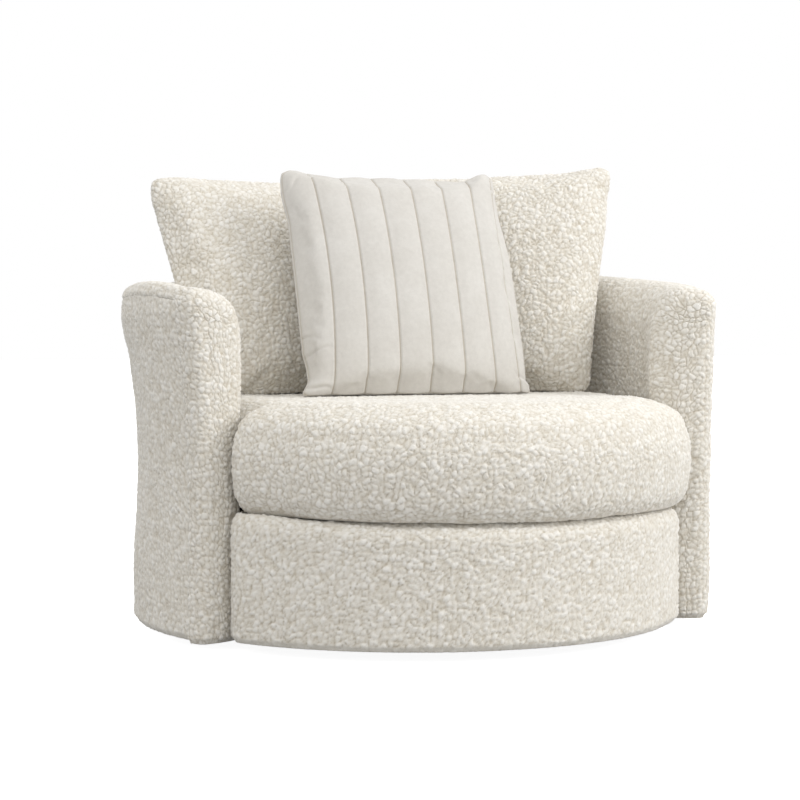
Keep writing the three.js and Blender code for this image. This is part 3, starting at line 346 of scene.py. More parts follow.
def roll_dip(angle, share):
    """How far the roll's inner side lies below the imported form, near the arm's front."""
    turned = np.degrees(np.minimum(angle, 2 * np.pi - angle))
    dip = np.where(angle < np.pi, np.interp(share, *ROLL_DIP_RIGHT), np.interp(share, *ROLL_DIP_LEFT))
    return dip * (1 - smooth((turned - 66) / 20))


def seam_sag(x, y):
    """How far the crevice between the drum and the seat cushion stands off its packed height."""
    reach = np.hypot(x, y - FRONT_CENTRE_Y)
    turned = np.degrees(np.arctan2(x, FRONT_CENTRE_Y - y))
    sag = np.interp(turned, *SEAM_SAG) * smooth((reach - 0.522) / 0.022)
    return sag * (1 - smooth((np.abs(turned) - 62) / 10))


def polar(radius, angle, z):
    return np.stack([radius * np.sin(angle), -radius * np.cos(angle), z + 0 * radius], -1)


def pullover(share, rim, foot, tuck=0.0):
    """Radius and height along the inside face, over the roll and down to the outer seam."""
    up = np.clip(share / PULL_STRAIGHT, 0, 1)
    turn = np.clip((share - PULL_STRAIGHT) / PULL_ROLL, 0, 1) * np.pi / 2
    drop = np.clip((share - PULL_STRAIGHT - PULL_ROLL) / PULL_EDGE, 0, 1) * np.pi / 2
    z = foot + (rim - ROLL_DROP - foot) * up + ROLL_DROP * np.sin(turn) ** ROLL_FULLNESS
    r = INNER_R + ROLL_WIDTH * (1 - np.cos(turn) ** ROLL_FULLNESS)
    r = r + (ROLL_EDGE + tuck) * np.sin(drop)
    z = z - SEAM_DROP * (1 - np.cos(drop))
    return r, z


def seam_back(share):
    """How far behind the arm's front its end piece reaches, from the inside to the outer seam."""
    return SEAM_BACK_IN + (SEAM_BACK_OUT - SEAM_BACK_IN) * smooth((share - 0.6) / 0.4)


def start_angle(share):
    return ARM_ANGLE + seam_back(share) / WAIST_R


def inside_cover():
    rows, columns = 240, 760
    share = np.linspace(0, 1, rows)[None, :]
    along = np.linspace(0, 1, columns)[:, None]
    first = start_angle(share)
    angle = first + along * (2 * np.pi - 2 * first)
    rim = rim_height(angle)
    r, z = pullover(share, rim, PULL_FOOT, arm_swell(rim, angle))
    grid = polar(r - inner_swell(z, angle, share), angle, z - roll_dip(angle, share))
    seam_distance = (1 - share) * PULL_LENGTH + 0 * along
    sink = SEAM_SINK * (1 - smooth(seam_distance / SEAM_FADE))
    back_share = np.array([0.995, 0.9, 0.8, 0.7, 0.62, 0.0])[None, :]
    back_first = start_angle(back_share)
    back_angle = back_first + along * (2 * np.pi - 2 * back_first)
    r_back, z_back = pullover(back_share, rim_height(back_angle), PULL_FOOT)
    z_back = np.minimum(z_back, rim_height(back_angle) - INSIDE_DEPTH)
    r_back = np.clip(r_back + INSIDE_DEPTH, None, SEAM_R - INSIDE_DEPTH)
    return cover_piece("inside_cover_fabric", grid, sink, polar(r_back, back_angle, z_back), -1)


def outside_cover():
    rows, columns = 220, 800
    down = np.linspace(0, 1, rows)[None, :]
    first = ARM_ANGLE + SEAM_BACK_OUT / WAIST_R
    angle = np.linspace(first, 2 * np.pi - first, columns)[:, None]
    rim = rim_height(angle)
    z = (rim - SEAM_DROP) + (FLOOR_GAP - rim + SEAM_DROP) * down
    r = outer_radius(z, rim) + arm_swell(z, angle)
    grid = polar(r, angle + 0 * z, z)
    top = (rim - SEAM_DROP) - z
    foot = z - FLOOR_GAP
    end = np.minimum(angle - first, 2 * np.pi - first - angle) * WAIST_R + 0 * z
    sink = SEAM_SINK * (1 - smooth(np.minimum(top, end) / SEAM_FADE))
    sink = sink + FOOT_TUCK * (1 - smooth(foot / FOOT_ROUND))
    levels = np.array([0.998, 0.5, 0.002])[None, :]
    z_back = (rim - SEAM_DROP) + (FLOOR_GAP - rim + SEAM_DROP) * levels
    hidden = polar(outer_radius(z_back, rim) - OUTSIDE_DEPTH, angle + 0 * z_back, z_back)
    return cover_piece("outside_cover_fabric", grid, sink, hidden, -1)


def arm_end(side):
    """The soft front end of an arm: rounded loops that close on the middle line."""
    count = 440
    share_in = np.linspace(0, 1, count)
    r_in, z_in = pullover(share_in, ARM_TOP, END_FOOT)
    z_out = np.linspace(ARM_TOP - SEAM_DROP, END_FOOT, 280)[1:]
    r_out = outer_radius(z_out, ARM_TOP)
    r = np.concatenate([r_in, r_out])
    z = np.concatenate([z_in, z_out])
    out = np.concatenate([np.zeros(count), np.ones(len(z_out))])
    share = np.concatenate([share_in, np.ones(len(z_out))])
    seam_share = np.where(out > 0, 1.0, np.sin(np.clip((share - 1 + PULL_EDGE) / PULL_EDGE, 0, 1) * np.pi / 2))
    target_z = np.clip(z, END_FOOT, ARM_TOP - END_MIDDLE_DROP)
    target_r = (INNER_R + outer_radius(target_z, ARM_TOP)) / 2 + 0.004 * smooth((target_z - 0.5) / 0.1)
    reach = np.hypot(target_r - r, target_z - z)
    back = seam_back(share)
    high = smooth((z - 0.39) / 0.08)
    inner = END_ROUND_IN + (END_ROUND - END_ROUND_IN) * smooth((share - 0.75) / 0.2)
    rounding = np.where(out > 0, END_ROUND, END_ROUND_FOOT + (inner - END_ROUND_FOOT) * high)
    bulge = END_BULGE * (1 - out) * high * (1 - smooth((share - 0.84) / 0.12))
    levels = []
    for t in np.linspace(1, 0, 17)[:-1]:
        levels.append((rounding + (back - rounding) * t, -bulge / reach * smooth(1 - t)))
    for turn in np.linspace(0, np.pi / 2, 25):
        levels.append((rounding * (1 - np.sin(turn)), (rounding * (1 - np.cos(turn)) - bulge) / reach))
    flat = (rounding - bulge) / reach
    for t in np.linspace(0, 0.985, 25)[1:]:
        crown = 0.003 * (1 - (1 - t) ** 2)
        levels.append((-crown + 0 * r, flat + (1 - flat) * t))
    rings = []
    for behind, inset in levels:
        angle = ARM_ANGLE + behind / WAIST_R
        own = angle if side > 0 else 2 * np.pi - angle
        rise = (rim_height(own) - ARM_TOP) * smooth((z - END_FOOT) / (ARM_TOP - END_FOOT))
        rr = r + seam_share * arm_swell(z, own) - (1 - out) * inner_swell(z, own, share)
        rr = rr + (target_r - rr) * inset
        zz = z + rise + (target_z - z) * inset - roll_dip(own, share) * (1 - inset)
        rings.append(polar(rr, own, zz))
    grid = np.array(rings)
    normal = grid_normals(grid) * side
    normal[-1] = normal[-2]
    nub, tone = loops(grid.reshape(-1, 3), LOOP_SIZE)
    nub, tone = nub.reshape(grid.shape[:2]), tone.reshape(grid.shape[:2])
    from_seam = np.array([np.where(out > 0, back - level[0], 1.0) for level in levels])
    sink = SEAM_SINK * (1 - smooth(from_seam / SEAM_FADE))
    sink = sink + FOOT_TUCK * (1 - smooth((grid[:, :, 2] - END_FOOT) / FOOT_ROUND))
    points = grid + normal * (LOOP_HEIGHT * (nub - LOOP_REST) - sink)[:, :, None]
    total = points.shape[1]
    faces = loft_faces(len(points), total)
    faces.append(np.arange(total))
    faces.extend(zip_up(points[-1, :, 2], (len(points) - 1) * total))
    obj = make_object(f"arm_end_{'right' if side > 0 else 'left'}_fabric", points, faces, nub, tone)
    flip_if_inside_out(obj)
    return obj


def zip_up(z, first):
    """Triangles that close a ring from its foot up to its top."""
    top = int(np.argmax(z))
    a, b = list(range(top + 1)), list(range(len(z) - 1, top - 1, -1))
    i = j = 0
    faces = []
    while i < len(a) - 1 or j < len(b) - 1:
        left = j == len(b) - 1 or (i < len(a) - 1 and z[a[i + 1]] <= z[b[j + 1]])
        third = a[i + 1] if left else b[j + 1]
        if len({a[i], b[j], third}) == 3:
            faces.append(first + np.array([a[i], b[j], third]))
        i, j = (i + 1, j) if left else (i, j + 1)
    return faces


def corner_centre(radius, corner, gap):
    reach, offset = radius - corner, corner + gap
    half = FRONT_CENTRE_Y * math.cos(ARM_ANGLE)
    rest = offset**2 + 2 * FRONT_CENTRE_Y * offset * math.sin(ARM_ANGLE) + FRONT_CENTRE_Y**2
    along = -half + math.sqrt(half**2 - rest + reach**2)
    return (
        along * math.sin(ARM_ANGLE) - offset * math.cos(ARM_ANGLE),
        -along * math.cos(ARM_ANGLE) - offset * math.sin(ARM_ANGLE),
    )


def front_path(radius, corner, gap, step):
    """Places and outward directions from the left arm round the front to the right arm."""
    kx, ky = corner_centre(radius, corner, gap)
    turn = math.atan2(kx, FRONT_CENTRE_Y - ky)
    arc = np.linspace(0, turn, int(radius * turn / step))
    bend = np.linspace(turn, ARM_ANGLE + math.pi / 2, int(corner * 1.9 / step))[1:]
    angles = np.concatenate([arc, bend])
    nx, ny = np.sin(angles), -np.cos(angles)
    x = np.concatenate([radius * np.sin(arc), kx + corner * np.sin(bend)])
    y = np.concatenate([FRONT_CENTRE_Y - radius * np.cos(arc), ky - corner * np.cos(bend)])
    right = np.stack([x, y, nx, ny], 1)
    left = right[::-1][:-1] * (-1, 1, -1, 1)
    turned = np.degrees(np.arctan2(x, FRONT_CENTRE_Y - y))
    draw = DRUM_RIGHT_IN * smooth((turned - 22) / 30)
    right[:, 0] -= draw * math.sin(ARM_ANGLE)
    right[:, 1] += draw * math.cos(ARM_ANGLE)
    return np.concatenate([left, right])


def path_grid(path, out, z):
    """A row of points for each place on a path: so far outward from it, and so high."""
    x = path[:, None, 0] + out * path[:, None, 2]
    y = path[:, None, 1] + out * path[:, None, 3]
    return np.stack([x, y, z + 0 * path[:, :1]], -1)


def drum_cover():
    path = front_path(FRONT_R, FRONT_CORNER_R, 0.0005, MESH_STEP)
    face = int((DRUM_TOP - DRUM_ROUND - FLOOR_GAP) / MESH_STEP)
    up = np.linspace(FLOOR_GAP, DRUM_TOP - DRUM_ROUND, face)
    turn = np.linspace(0, np.pi / 2, 19)[1:]
    inward = np.linspace(DRUM_ROUND_IN, DRUM_LIP, 10)[1:]
    d = np.concatenate([0 * up, -DRUM_ROUND_IN * (1 - np.cos(turn)), -inward])
    z = np.concatenate([up, DRUM_TOP - DRUM_ROUND * (1 - np.sin(turn)), DRUM_TOP + 0 * inward])
    grid = path_grid(path, d, z)
    sink = FOOT_TUCK * (1 - smooth((grid[:, :, 2] - FLOOR_GAP) / FOOT_ROUND))
    sink = sink + 0.0006 * smooth((grid[:, :, 2] - 0.25) / 0.006)
    sag = np.interp(np.degrees(np.arctan2(grid[:, :, 0], FRONT_CENTRE_Y - grid[:, :, 1])), *SEAM_SAG)
    sag = np.where(d[None, :] > -DRUM_ROUND_IN, sag, seam_sag(grid[:, :, 0], grid[:, :, 1]))
    grid[:, :, 2] += sag * smooth((grid[:, :, 2] - 0.16) / (DRUM_TOP - 0.16))
    back = np.array([[-DRUM_LIP, DRUM_TOP - 0.02], [-0.022, DRUM_TOP - 0.02], [-0.022, FLOOR_GAP]])
    return cover_piece("drum_cover_fabric", grid, sink, path_grid(path, back[:, 0], back[:, 1]), 1)


# Cushions
def apply_modifiers(obj):
    """Bakes an object's modifiers into its mesh."""
    depsgraph = bpy.context.evaluated_depsgraph_get()
    made = bpy.data.meshes.new_from_object(obj.evaluated_get(depsgraph))
    old = obj.data
    obj.modifiers.clear()
    obj.data = made
    bpy.data.meshes.remove(old)


def get_points(obj):
    points = np.empty(len(obj.data.vertices) * 3, dtype=np.float32)
    obj.data.vertices.foreach_get("co", points)
    return points.reshape(-1, 3).astype(float)


def get_normals(obj):
    values = np.empty(len(obj.data.vertices) * 3, dtype=np.float32)
    obj.data.vertices.foreach_get("normal", values)
    return values.reshape(-1, 3).astype(float)


def set_points(obj, points):
    obj.data.vertices.foreach_set("co", points.astype(np.float32).ravel())
    obj.data.update()


def relax(obj, rounds):
    """Evens out a mesh by moving each point half way to its neighbours' middle."""
    edges = np.empty(len(obj.data.edges) * 2, dtype=np.int32)
    obj.data.edges.foreach_get("vertices", edges)
    a, b = edges.reshape(-1, 2).T
    points = get_points(obj)
    total = len(points)
    valence = np.bincount(a, minlength=total) + np.bincount(b, minlength=total)
    for _ in range(rounds):
        mean = np.stack(
            [
                np.bincount(a, points[b, axis], total) + np.bincount(b, points[a, axis], total)
                for axis in range(3)
            ],
            1,
        ) / np.maximum(valence, 1)[:, None]
        points = points + 0.5 * (mean - points)
    set_points(obj, points)


def to_local(points, place):
    """World points in a standing cushion's own axes: across, thickness and up."""
    centre, turn, lean = place
    x, y, z = (points - centre).T
    x, y = x * math.cos(turn) + y * math.sin(turn), -x * math.sin(turn) + y * math.cos(turn)
    y, z = y * math.cos(lean) - z * math.sin(lean), y * math.sin(lean) + z * math.cos(lean)
    return np.stack([x, y, z], 1)


def to_world(points, place):
    centre, turn, lean = place
    x, y, z = points.T
    y, z = y * math.cos(lean) + z * math.sin(lean), -y * math.sin(lean) + z * math.cos(lean)
    x, y = x * math.cos(turn) - y * math.sin(turn), x * math.sin(turn) + y * math.cos(turn)
    return np.stack([x, y, z], 1) + centre


def voxel_remesh(obj, size):
    tidy = obj.modifiers.new("even", "REMESH")
    tidy.mode = "VOXEL"
    tidy.voxel_size = size
    apply_modifiers(obj)


def copy_solid(node, name):
    source = frame["nodes"][node]
    mesh = source.data.copy()
    mesh.transform(source.matrix_world)
    obj = bpy.data.objects.new(name, mesh)
    scene.collection.objects.link(obj)
    obj.data.materials.clear()
    return obj


def blow_up(obj, swell, cap):
    """Fills a cushion as pressurised cloth and keeps the result."""
    start = get_points(obj)
    cloth = obj.modifiers.new("cloth", "CLOTH")
    cloth.settings.use_pressure = True
    cloth.settings.uniform_pressure_force = swell
    cloth.settings.effector_weights.gravity = 0
    cloth.settings.quality = 5
    for step in range(1, CLOTH_FRAMES + 1):
        scene.frame_set(step)
    apply_modifiers(obj)
    scene.frame_set(1)
    moved = get_points(obj) - start
    far = np.linalg.norm(moved, axis=1, keepdims=True)
    set_points(obj, start + moved * np.minimum(1, cap / np.maximum(far, 1e-9)))


def finer(obj, levels):
    made = obj.modifiers.new("finer", "SUBSURF")
    made.levels = made.render_levels = levels
    apply_modifiers(obj)
    for face in obj.data.polygons:
        face.use_smooth = True


def standing_cushion(node, name, place, edge, voxel, swell, cap, shape, reshape=None):
    """A loose cushion with full rounded edges, blown up as cloth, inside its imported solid's reach."""
    obj = copy_solid(node, name)
    local = to_local(get_points(obj), place)
    lowest, highest = local.min(0), local.max(0)
    middle, half = (lowest + highest) / 2, (highest - lowest) / 2
    if reshape is not None:
        local = reshape(local)
    local = middle + (local - middle) * (1 - edge * np.array([1, 0.8, 1]) / half)
    set_points(obj, to_world(local, place))
    voxel_remesh(obj, voxel)
    relax(obj, 2)
    set_points(obj, get_points(obj) + get_normals(obj) * edge)
    voxel_remesh(obj, voxel)
    relax(obj, 5)
    blow_up(obj, swell, cap)
    local = to_local(get_points(obj), place)
    now_low, now_high = local.min(0), local.max(0)
    local = (local - (now_low + now_high) / 2) / ((now_high - now_low) / 2)
    reach = half - np.array([CUSHION_SPARE] * 3)
    local = shape(local, reach)
    points = to_world(middle + local, place)
    points[:, 2] = np.maximum(points[:, 2], seat_height(points[:, 0], points[:, 1]) - CUSHION_SPARE)
    set_points(obj, points)
    finer(obj, 2)
    return obj


def loop_surface(obj, keep=None):
    """Raises the looped yarn over a cushion."""
    points, normals = get_points(obj), get_normals(obj)
    nub, tone = loops(points, LOOP_SIZE)
    lift = LOOP_HEIGHT * (nub - LOOP_REST)
    if keep is not None:
        lift = lift * keep
    set_points(obj, points + normals * lift[:, None])
    mark_loops(obj, nub, tone)


def seat_height(x, y):
    share = np.clip(np.hypot(x, y - SEAT_CENTRE_Y) / SEAT_CROWN_R, 0, 1)
    return SEAT_EDGE_TOP + SEAT_CROWN * (1 - share**4)


def seat_cushion():
    obj = copy_solid("seat_cushion", "seat_cushion_fabric")
    voxel_remesh(obj, 0.011)
    relax(obj, 4)
    blow_up(obj, swell=3.0, cap=0.012)
    finer(obj, 2)
    points = get_points(obj)
    low, high = points.min(0), points.max(0)
    cad_low, cad_high = (np.array(c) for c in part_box("seat_cushion"))
    grow = (cad_high - cad_low - SEAT_SPARE) / (high - low)
    points = (points - (low + high) / 2) * grow + (cad_low + cad_high) / 2
    away = np.hypot(points[:, 0], points[:, 1] - SEAT_CENTRE_Y)
    points[:, 2] += 0.007 * smooth((points[:, 2] - 0.39) / 0.04) * smooth((away - 0.30) / 0.12)
    from_front = np.degrees(np.arctan2(-points[:, 0], -points[:, 1]))
    draw = SEAT_LEFT_IN * smooth((from_front - 38) / 14) * (1 - smooth((from_front - 60) / 6))
    draw = draw * smooth((away - 0.3) / 0.1)
    points[:, 0] += draw * math.sin(ARM_ANGLE)
    points[:, 1] += draw * math.cos(ARM_ANGLE)
    sag = seam_sag(points[:, 0], points[:, 1])
    points[:, 2] += (sag - SEAT_OVERHANG) * (1 - smooth((points[:, 2] - DRUM_TOP) / 0.10))
    points[:, 2] = np.maximum(points[:, 2], DRUM_TOP + sag + 0.0008)
    set_points(obj, points)
    loop_surface(obj, smooth((points[:, 2] - DRUM_TOP - sag - 0.002) / 0.01))
    return obj


def back_left_shape(share, reach):
    """Sets the cushion's foot down on the seat."""
    x, y, z = (share * reach).T
    u, _, v = share.T
    corner = smooth((-u - 0.7) / 0.3) * smooth((v - 0.7) / 0.3)
    x = x + 0.004 * smooth(-u) + 0.003 * corner
    z = z + 0.004 * smooth((v - 0.3) / 0.6) * (1 - u**4) - 0.004 * corner
    return np.stack([x, y, z - FOOT_DOWN * smooth((-v - 0.55) / 0.4)], 1)


def back_right_shape(share, reach):
    """Sets the foot down, draws the outer top corner up and lets the other one sag."""
    x, y, z = (share * reach).T
    u, _, v = share.T
    ear = smooth((u - 0.55) / 0.4) * smooth((v - 0.5) / 0.45)
    x = x - 0.006 * smooth((u - 0.3) / 0.5) * np.exp(-(((v - 0.75) / 0.2) ** 2))
    slack = smooth((0.1 - u) / 0.6) * smooth((v - 0.2) / 0.5)
    z = z + 0.004 * smooth((v - 0.3) / 0.6) * (1 - u**4) + 0.012 * ear - 0.010 * slack
    return np.stack([x, y, z - FOOT_DOWN * smooth((-v - 0.55) / 0.4)], 1)


def back_cushion(side):
    node = f"back_cushion_{side}"
    shape = back_left_shape if side == "left" else back_right_shape
    obj = standing_cushion(
        node, f"{node}_fabric", PLACES[side], edge=0.014, voxel=0.009, swell=4.0, cap=0.014, shape=shape
    )
    loop_surface(obj)
    return obj


def channel(local):
    """Across and up shares of a point on the scatter cushion, and its distance from a sewn seam."""
    v = np.clip(local[:, 2] / (SCATTER_HEIGHT / 2), -1, 1)
    half = SCATTER_WIDTH / 2 * (1 - 0.05 * (1 - v**2))
    u = np.clip(local[:, 0] / half, -1, 1)
    aside = np.abs(local[:, :1] / half[:, None] - np.array(SEWN)).min(1) * half
    return u, v, aside


def fill_channels(local):
    """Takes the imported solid's deep channels out again, so the cloth starts from an even face."""
    u, v, _ = channel(local)
    crown = np.sqrt((1 - u * u) * (1 - v * v))
    phase = np.abs(np.cos((u + 1) / 2 * CHANNELS * np.pi)) ** 3
    out = local.copy()
    out[:, 1] -= np.where(local[:, 1] < 0, CHANNEL_DEPTH * phase * np.minimum(1, 2 * crown), 0)
    return out


def scatter_shape(share, reach):
    """Draws the top corners up into ears, spreads the bottom ones and pinches the sides between."""
    x, y, z = (share * reach).T
    u, _, v = share.T
    top = smooth((v - 0.55) / 0.4)
    foot = smooth((-v - 0.84) / 0.14)
    left, right = smooth((-u - 0.5) / 0.45), smooth((u - 0.6) / 0.35)
    x = x * (1 + 0.022 * (1 - v * v))
    x = x - left * (0.012 * top + 0.016 * foot - 0.007 * np.exp(-(((v + 0.78) / 0.12) ** 2)))
    x = x + right * 0.010 * foot - smooth(u) * 0.011 * np.exp(-(((v - 0.72) / 0.35) ** 2))
    crown = 1 - np.clip(np.abs(u + 0.1) / 0.8, 0, 1) ** 2
    z = z + top * (0.018 * left + 0.022 * right + 0.008 * crown) - 0.008 * smooth((-v - 0.6) / 0.35)
    return np.stack([x, y, z], 1)


def scatter_cushion():
    """Velvet cushion with thin sewn channels down its front and a seam round its edge."""
    place = PLACES["scatter"]
    obj = standing_cushion(
        "scatter_cushion",
        "scatter_cushion_velvet",
        place,
        edge=0.011,
        voxel=0.007,
        swell=3.0,
        cap=0.010,
        shape=scatter_shape,
        reshape=fill_channels,
    )
    points, normals = get_points(obj), get_normals(obj)
    local = to_local(points, place)
    aside = channel(local)[2]
    front = smooth(0.5 - local[:, 1] / FRONT_FADE)
    seam = np.exp(-((aside / SEAM_HALF_WIDTH) ** 2)) * front
    dip = np.exp(-((aside / DIP_HALF_WIDTH) ** 2)) * front
    rim = np.exp(-(((local[:, 1] + 0.004) / EDGE_SEAM_HALF_WIDTH) ** 2))
    pucker = 0 * rim
    for x, z, turn, length, depth in PUCKERS:
        along = (local[:, 0] - x) * math.cos(turn) + (local[:, 2] - z) * math.sin(turn)
        off = (local[:, 2] - z) * math.cos(turn) - (local[:, 0] - x) * math.sin(turn)
        off = off - 0.004 * np.sin(along * 90)
        fade = np.exp(-((along / length) ** 2)) * front
        crease = np.exp(-((off / CREASE_HALF_WIDTH) ** 2))
        ridge = np.exp(-(((off - RIDGE_OFF) / RIDGE_HALF_WIDTH) ** 2))
        pucker = pucker + depth * fade * (crease - 0.7 * ridge)
    points = points - normals * (SEAM_DEPTH * seam + DIP_DEPTH * dip + EDGE_SEAM_DEPTH * rim + pucker)[:, None]
    set_points(obj, points)
    # The nub attribute here holds the seams, for the material's painted shade in their grooves.
    mark_loops(obj, 1 - np.maximum(seam, 0.8 * rim), None)
    return obj


# Hidden soft pieces
def deck_pad():
    """The stitched cloth pad under the seat cushion."""
    obj = copy_solid("deck_pad", "deck_pad_cloth")
    voxel_remesh(obj, 0.006)
    relax(obj, 3)
    points, normals = get_points(obj), get_normals(obj)
    x, y = points[:, 0], points[:, 1]
    rows = [np.abs(((x + sign * y) / QUILT) % 1 - 0.5) * QUILT for sign in (1, -1)]
    stitch = STITCH_DEPTH * np.exp(-((np.minimum(*rows) / STITCH_HALF_WIDTH) ** 2))
    set_points(obj, points - normals * (PAD_SPARE + stitch * (normals[:, 2] > 0.5))[:, None])
    for face in obj.data.polygons:
        face.use_smooth = True
    return obj


def dust_cover():
    """Thin black cloth stapled under the frame, with a round hole for the base."""
    path = front_path(FRONT_R - DUST_INSET, FRONT_CORNER_R - DUST_INSET, DUST_INSET + 0.0005, 0.01)
    angle = np.arctan2(path[:, 0], -path[:, 1])
    reach = np.hypot(path[:, 0], path[:, 1])
    wall = ARM_ANGLE + 0.0786
    right = [
        (ARM_ANGLE - 0.01, DUST_NECK_R),
        (wall, DUST_NECK_R),
        (wall + 0.002, DUST_BACK_R),
        (math.pi, DUST_BACK_R),
    ]
    keep = np.abs(angle) < ARM_ANGLE - 0.02
    turns = np.concatenate([[-a for a, _ in right[::-1]], angle[keep], [a for a, _ in right]])
    radii = np.concatenate([[r for _, r in right[::-1]], reach[keep], [r for _, r in right]])
    theta = np.linspace(-np.pi, np.pi, 361)[:-1][:, None]
    outer = np.interp(theta[:, 0], turns, radii)[:, None]
    s = np.linspace(0, 1, 16)[None, :]
    r = DUST_HOLE_R + (outer - DUST_HOLE_R) * s
    sag = DUST_SAG * np.sin(np.pi * s) * (1 + 0.4 * np.sin(theta * 23))
    upper = polar(r, theta + 0 * r, DUST_TOP - sag)
    lower = polar(r, theta + 0 * r, DUST_TOP - DUST_THICK - sag)
    ring = np.concatenate([upper, lower[:, ::-1]], axis=1)
    count = ring.shape[1]
    faces = loft_faces(len(ring), count)
    i = np.arange(count)
    j = (i + 1) % count
    last = (len(ring) - 1) * count
    faces.extend(np.stack([last + i, last + j, j, i], 1))
    obj = make_object("dust_cover_cloth", ring, faces)
    flip_if_inside_out(obj)
    return obj


# Materials
def new_material(name):
    material = bpy.data.materials.new(name)
    material.use_nodes = True
    tree = material.node_tree
    tree.nodes.clear()
    output = tree.nodes.new("ShaderNodeOutputMaterial")
    shader = tree.nodes.new("ShaderNodeBsdfPrincipled")
    tree.links.new(shader.outputs[0], output.inputs[0])
    return material, tree, shader


def noise(tree, scale, detail=2.0, rough=0.5):
    coord = tree.nodes.new("ShaderNodeTexCoord")
    node = tree.nodes.new("ShaderNodeTexNoise")
    node.inputs["Scale"].default_value = scale
    node.inputs["Detail"].default_value = detail
    node.inputs["Roughness"].default_value = rough
    tree.links.new(coord.outputs["Object"], node.inputs["Vector"])
    return node


def ramp(tree, value, stops):
    node = tree.nodes.new("ShaderNodeValToRGB")
    node.color_ramp.elements[0].position, node.color_ramp.elements[0].color = stops[0][0], (*stops[0][1], 1)
    node.color_ramp.elements[1].position, node.color_ramp.elements[1].color = stops[-1][0], (*stops[-1][1], 1)
    for place, colour in stops[1:-1]:
        element = node.color_ramp.elements.new(place)
        element.color = (*colour, 1)
    tree.links.new(value, node.inputs[0])
    return node


def mix(tree, kind, factor, a, b):
    node = tree.nodes.new("ShaderNodeMix")
    node.data_type = "RGBA"
    node.blend_type = kind
    node.inputs[0].default_value = factor
    tree.links.new(a, node.inputs[6])
    tree.links.new(b, node.inputs[7])
    return node.outputs[2]


def bump(tree, height, strength, distance):
    node = tree.nodes.new("ShaderNodeBump")
    node.inputs["Strength"].default_value = strength
    node.inputs["Distance"].default_value = distance
    tree.links.new(height, node.inputs["Height"])
    return node


def boucle_material():
    material, tree, shader = new_material("boucle")
    nub = tree.nodes.new("ShaderNodeAttribute")
    nub.attribute_name = "nub"
    tone = tree.nodes.new("ShaderNodeAttribute")
    tone.attribute_name = "tone"
    # Painted shade: the colour darkens from the loops' tops down into the crevices between them, and the tops
    # are painted lightest.
    depth = ramp(tree, nub.outputs["Fac"], [
        (0.05, (0.56, 0.505, 0.42)),
        (0.35, (0.73, 0.695, 0.625)),
        (0.7, (0.83, 0.81, 0.765)),
        (1.0, (0.87, 0.858, 0.828)),
    ])
    each = ramp(tree, tone.outputs["Fac"], [(0.0, (0.93, 0.92, 0.90)), (1.0, (1.0, 1.0, 1.0))])
    yarn = noise(tree, 700, 3.0, 0.6)
    fibre = ramp(tree, yarn.outputs["Fac"], [(0.3, (0.90, 0.89, 0.87)), (0.7, (1.0, 1.0, 1.0))])
    colour = mix(tree, "MULTIPLY", 1.0, depth.outputs[0], each.outputs[0])
    colour = mix(tree, "MULTIPLY", 1.0, colour, fibre.outputs[0])
    tree.links.new(colour, shader.inputs["Base Color"])
    rough = ramp(tree, yarn.outputs["Fac"], [(0.2, (0.86, 0.86, 0.86)), (0.8, (1.0, 1.0, 1.0))])
    tree.links.new(rough.outputs[0], shader.inputs["Roughness"])
    curl = noise(tree, 260, 3.0, 0.55)
    relief = bump(tree, curl.outputs["Fac"], 0.6, 0.0016)
    tree.links.new(relief.outputs[0], shader.inputs["Normal"])
    shader.inputs["Sheen Weight"].default_value = 0.25
    shader.inputs["Sheen Roughness"].default_value = 0.6
    shader.inputs["Specular IOR Level"].default_value = 0.15
    return material


def velvet_material():
    material, tree, shader = new_material("velvet")
    soft = noise(tree, 14, 3.0, 0.55)
    patch = ramp(tree, soft.outputs["Fac"], [(0.3, (0.612, 0.594, 0.56)), (0.7, (0.655, 0.64, 0.61))])
    pile = noise(tree, 900, 2.0, 0.6)
    grain = ramp(tree, pile.outputs["Fac"], [(0.3, (0.95, 0.945, 0.94)), (0.7, (1.0, 1.0, 1.0))])
    cloud = noise(tree, 110, 3.0, 0.6)
    brushed = ramp(tree, cloud.outputs["Fac"], [(0.3, (0.93, 0.928, 0.925)), (0.7, (1.0, 1.0, 1.0))])
    colour = mix(tree, "MULTIPLY", 1.0, patch.outputs[0], grain.outputs[0])
    colour = mix(tree, "MULTIPLY", 1.0, colour, brushed.outputs[0])
    # Painted shade along the sewn seams: the colour darkens in the seam grooves and along the edge seam.
    seam = tree.nodes.new("ShaderNodeAttribute")
    seam.attribute_name = "nub"
    sewn = ramp(tree, seam.outputs["Fac"], [(0.1, (0.84, 0.795, 0.72)), (0.7, (1.0, 1.0, 1.0))])
    colour = mix(tree, "MULTIPLY", 1.0, colour, sewn.outputs[0])
    tree.links.new(colour, shader.inputs["Base Color"])
    rough = ramp(tree, soft.outputs["Fac"], [(0.3, (0.66, 0.66, 0.66)), (0.7, (0.8, 0.8, 0.8))])
    tree.links.new(rough.outputs[0], shader.inputs["Roughness"])
    relief = bump(tree, pile.outputs["Fac"], 0.25, 0.0006)
    tree.links.new(relief.outputs[0], shader.inputs["Normal"])
    shader.inputs["Sheen Weight"].default_value = 0.35
    shader.inputs["Sheen Roughness"].default_value = 0.35
    shader.inputs["Specular IOR Level"].default_value = 0.2
    return material


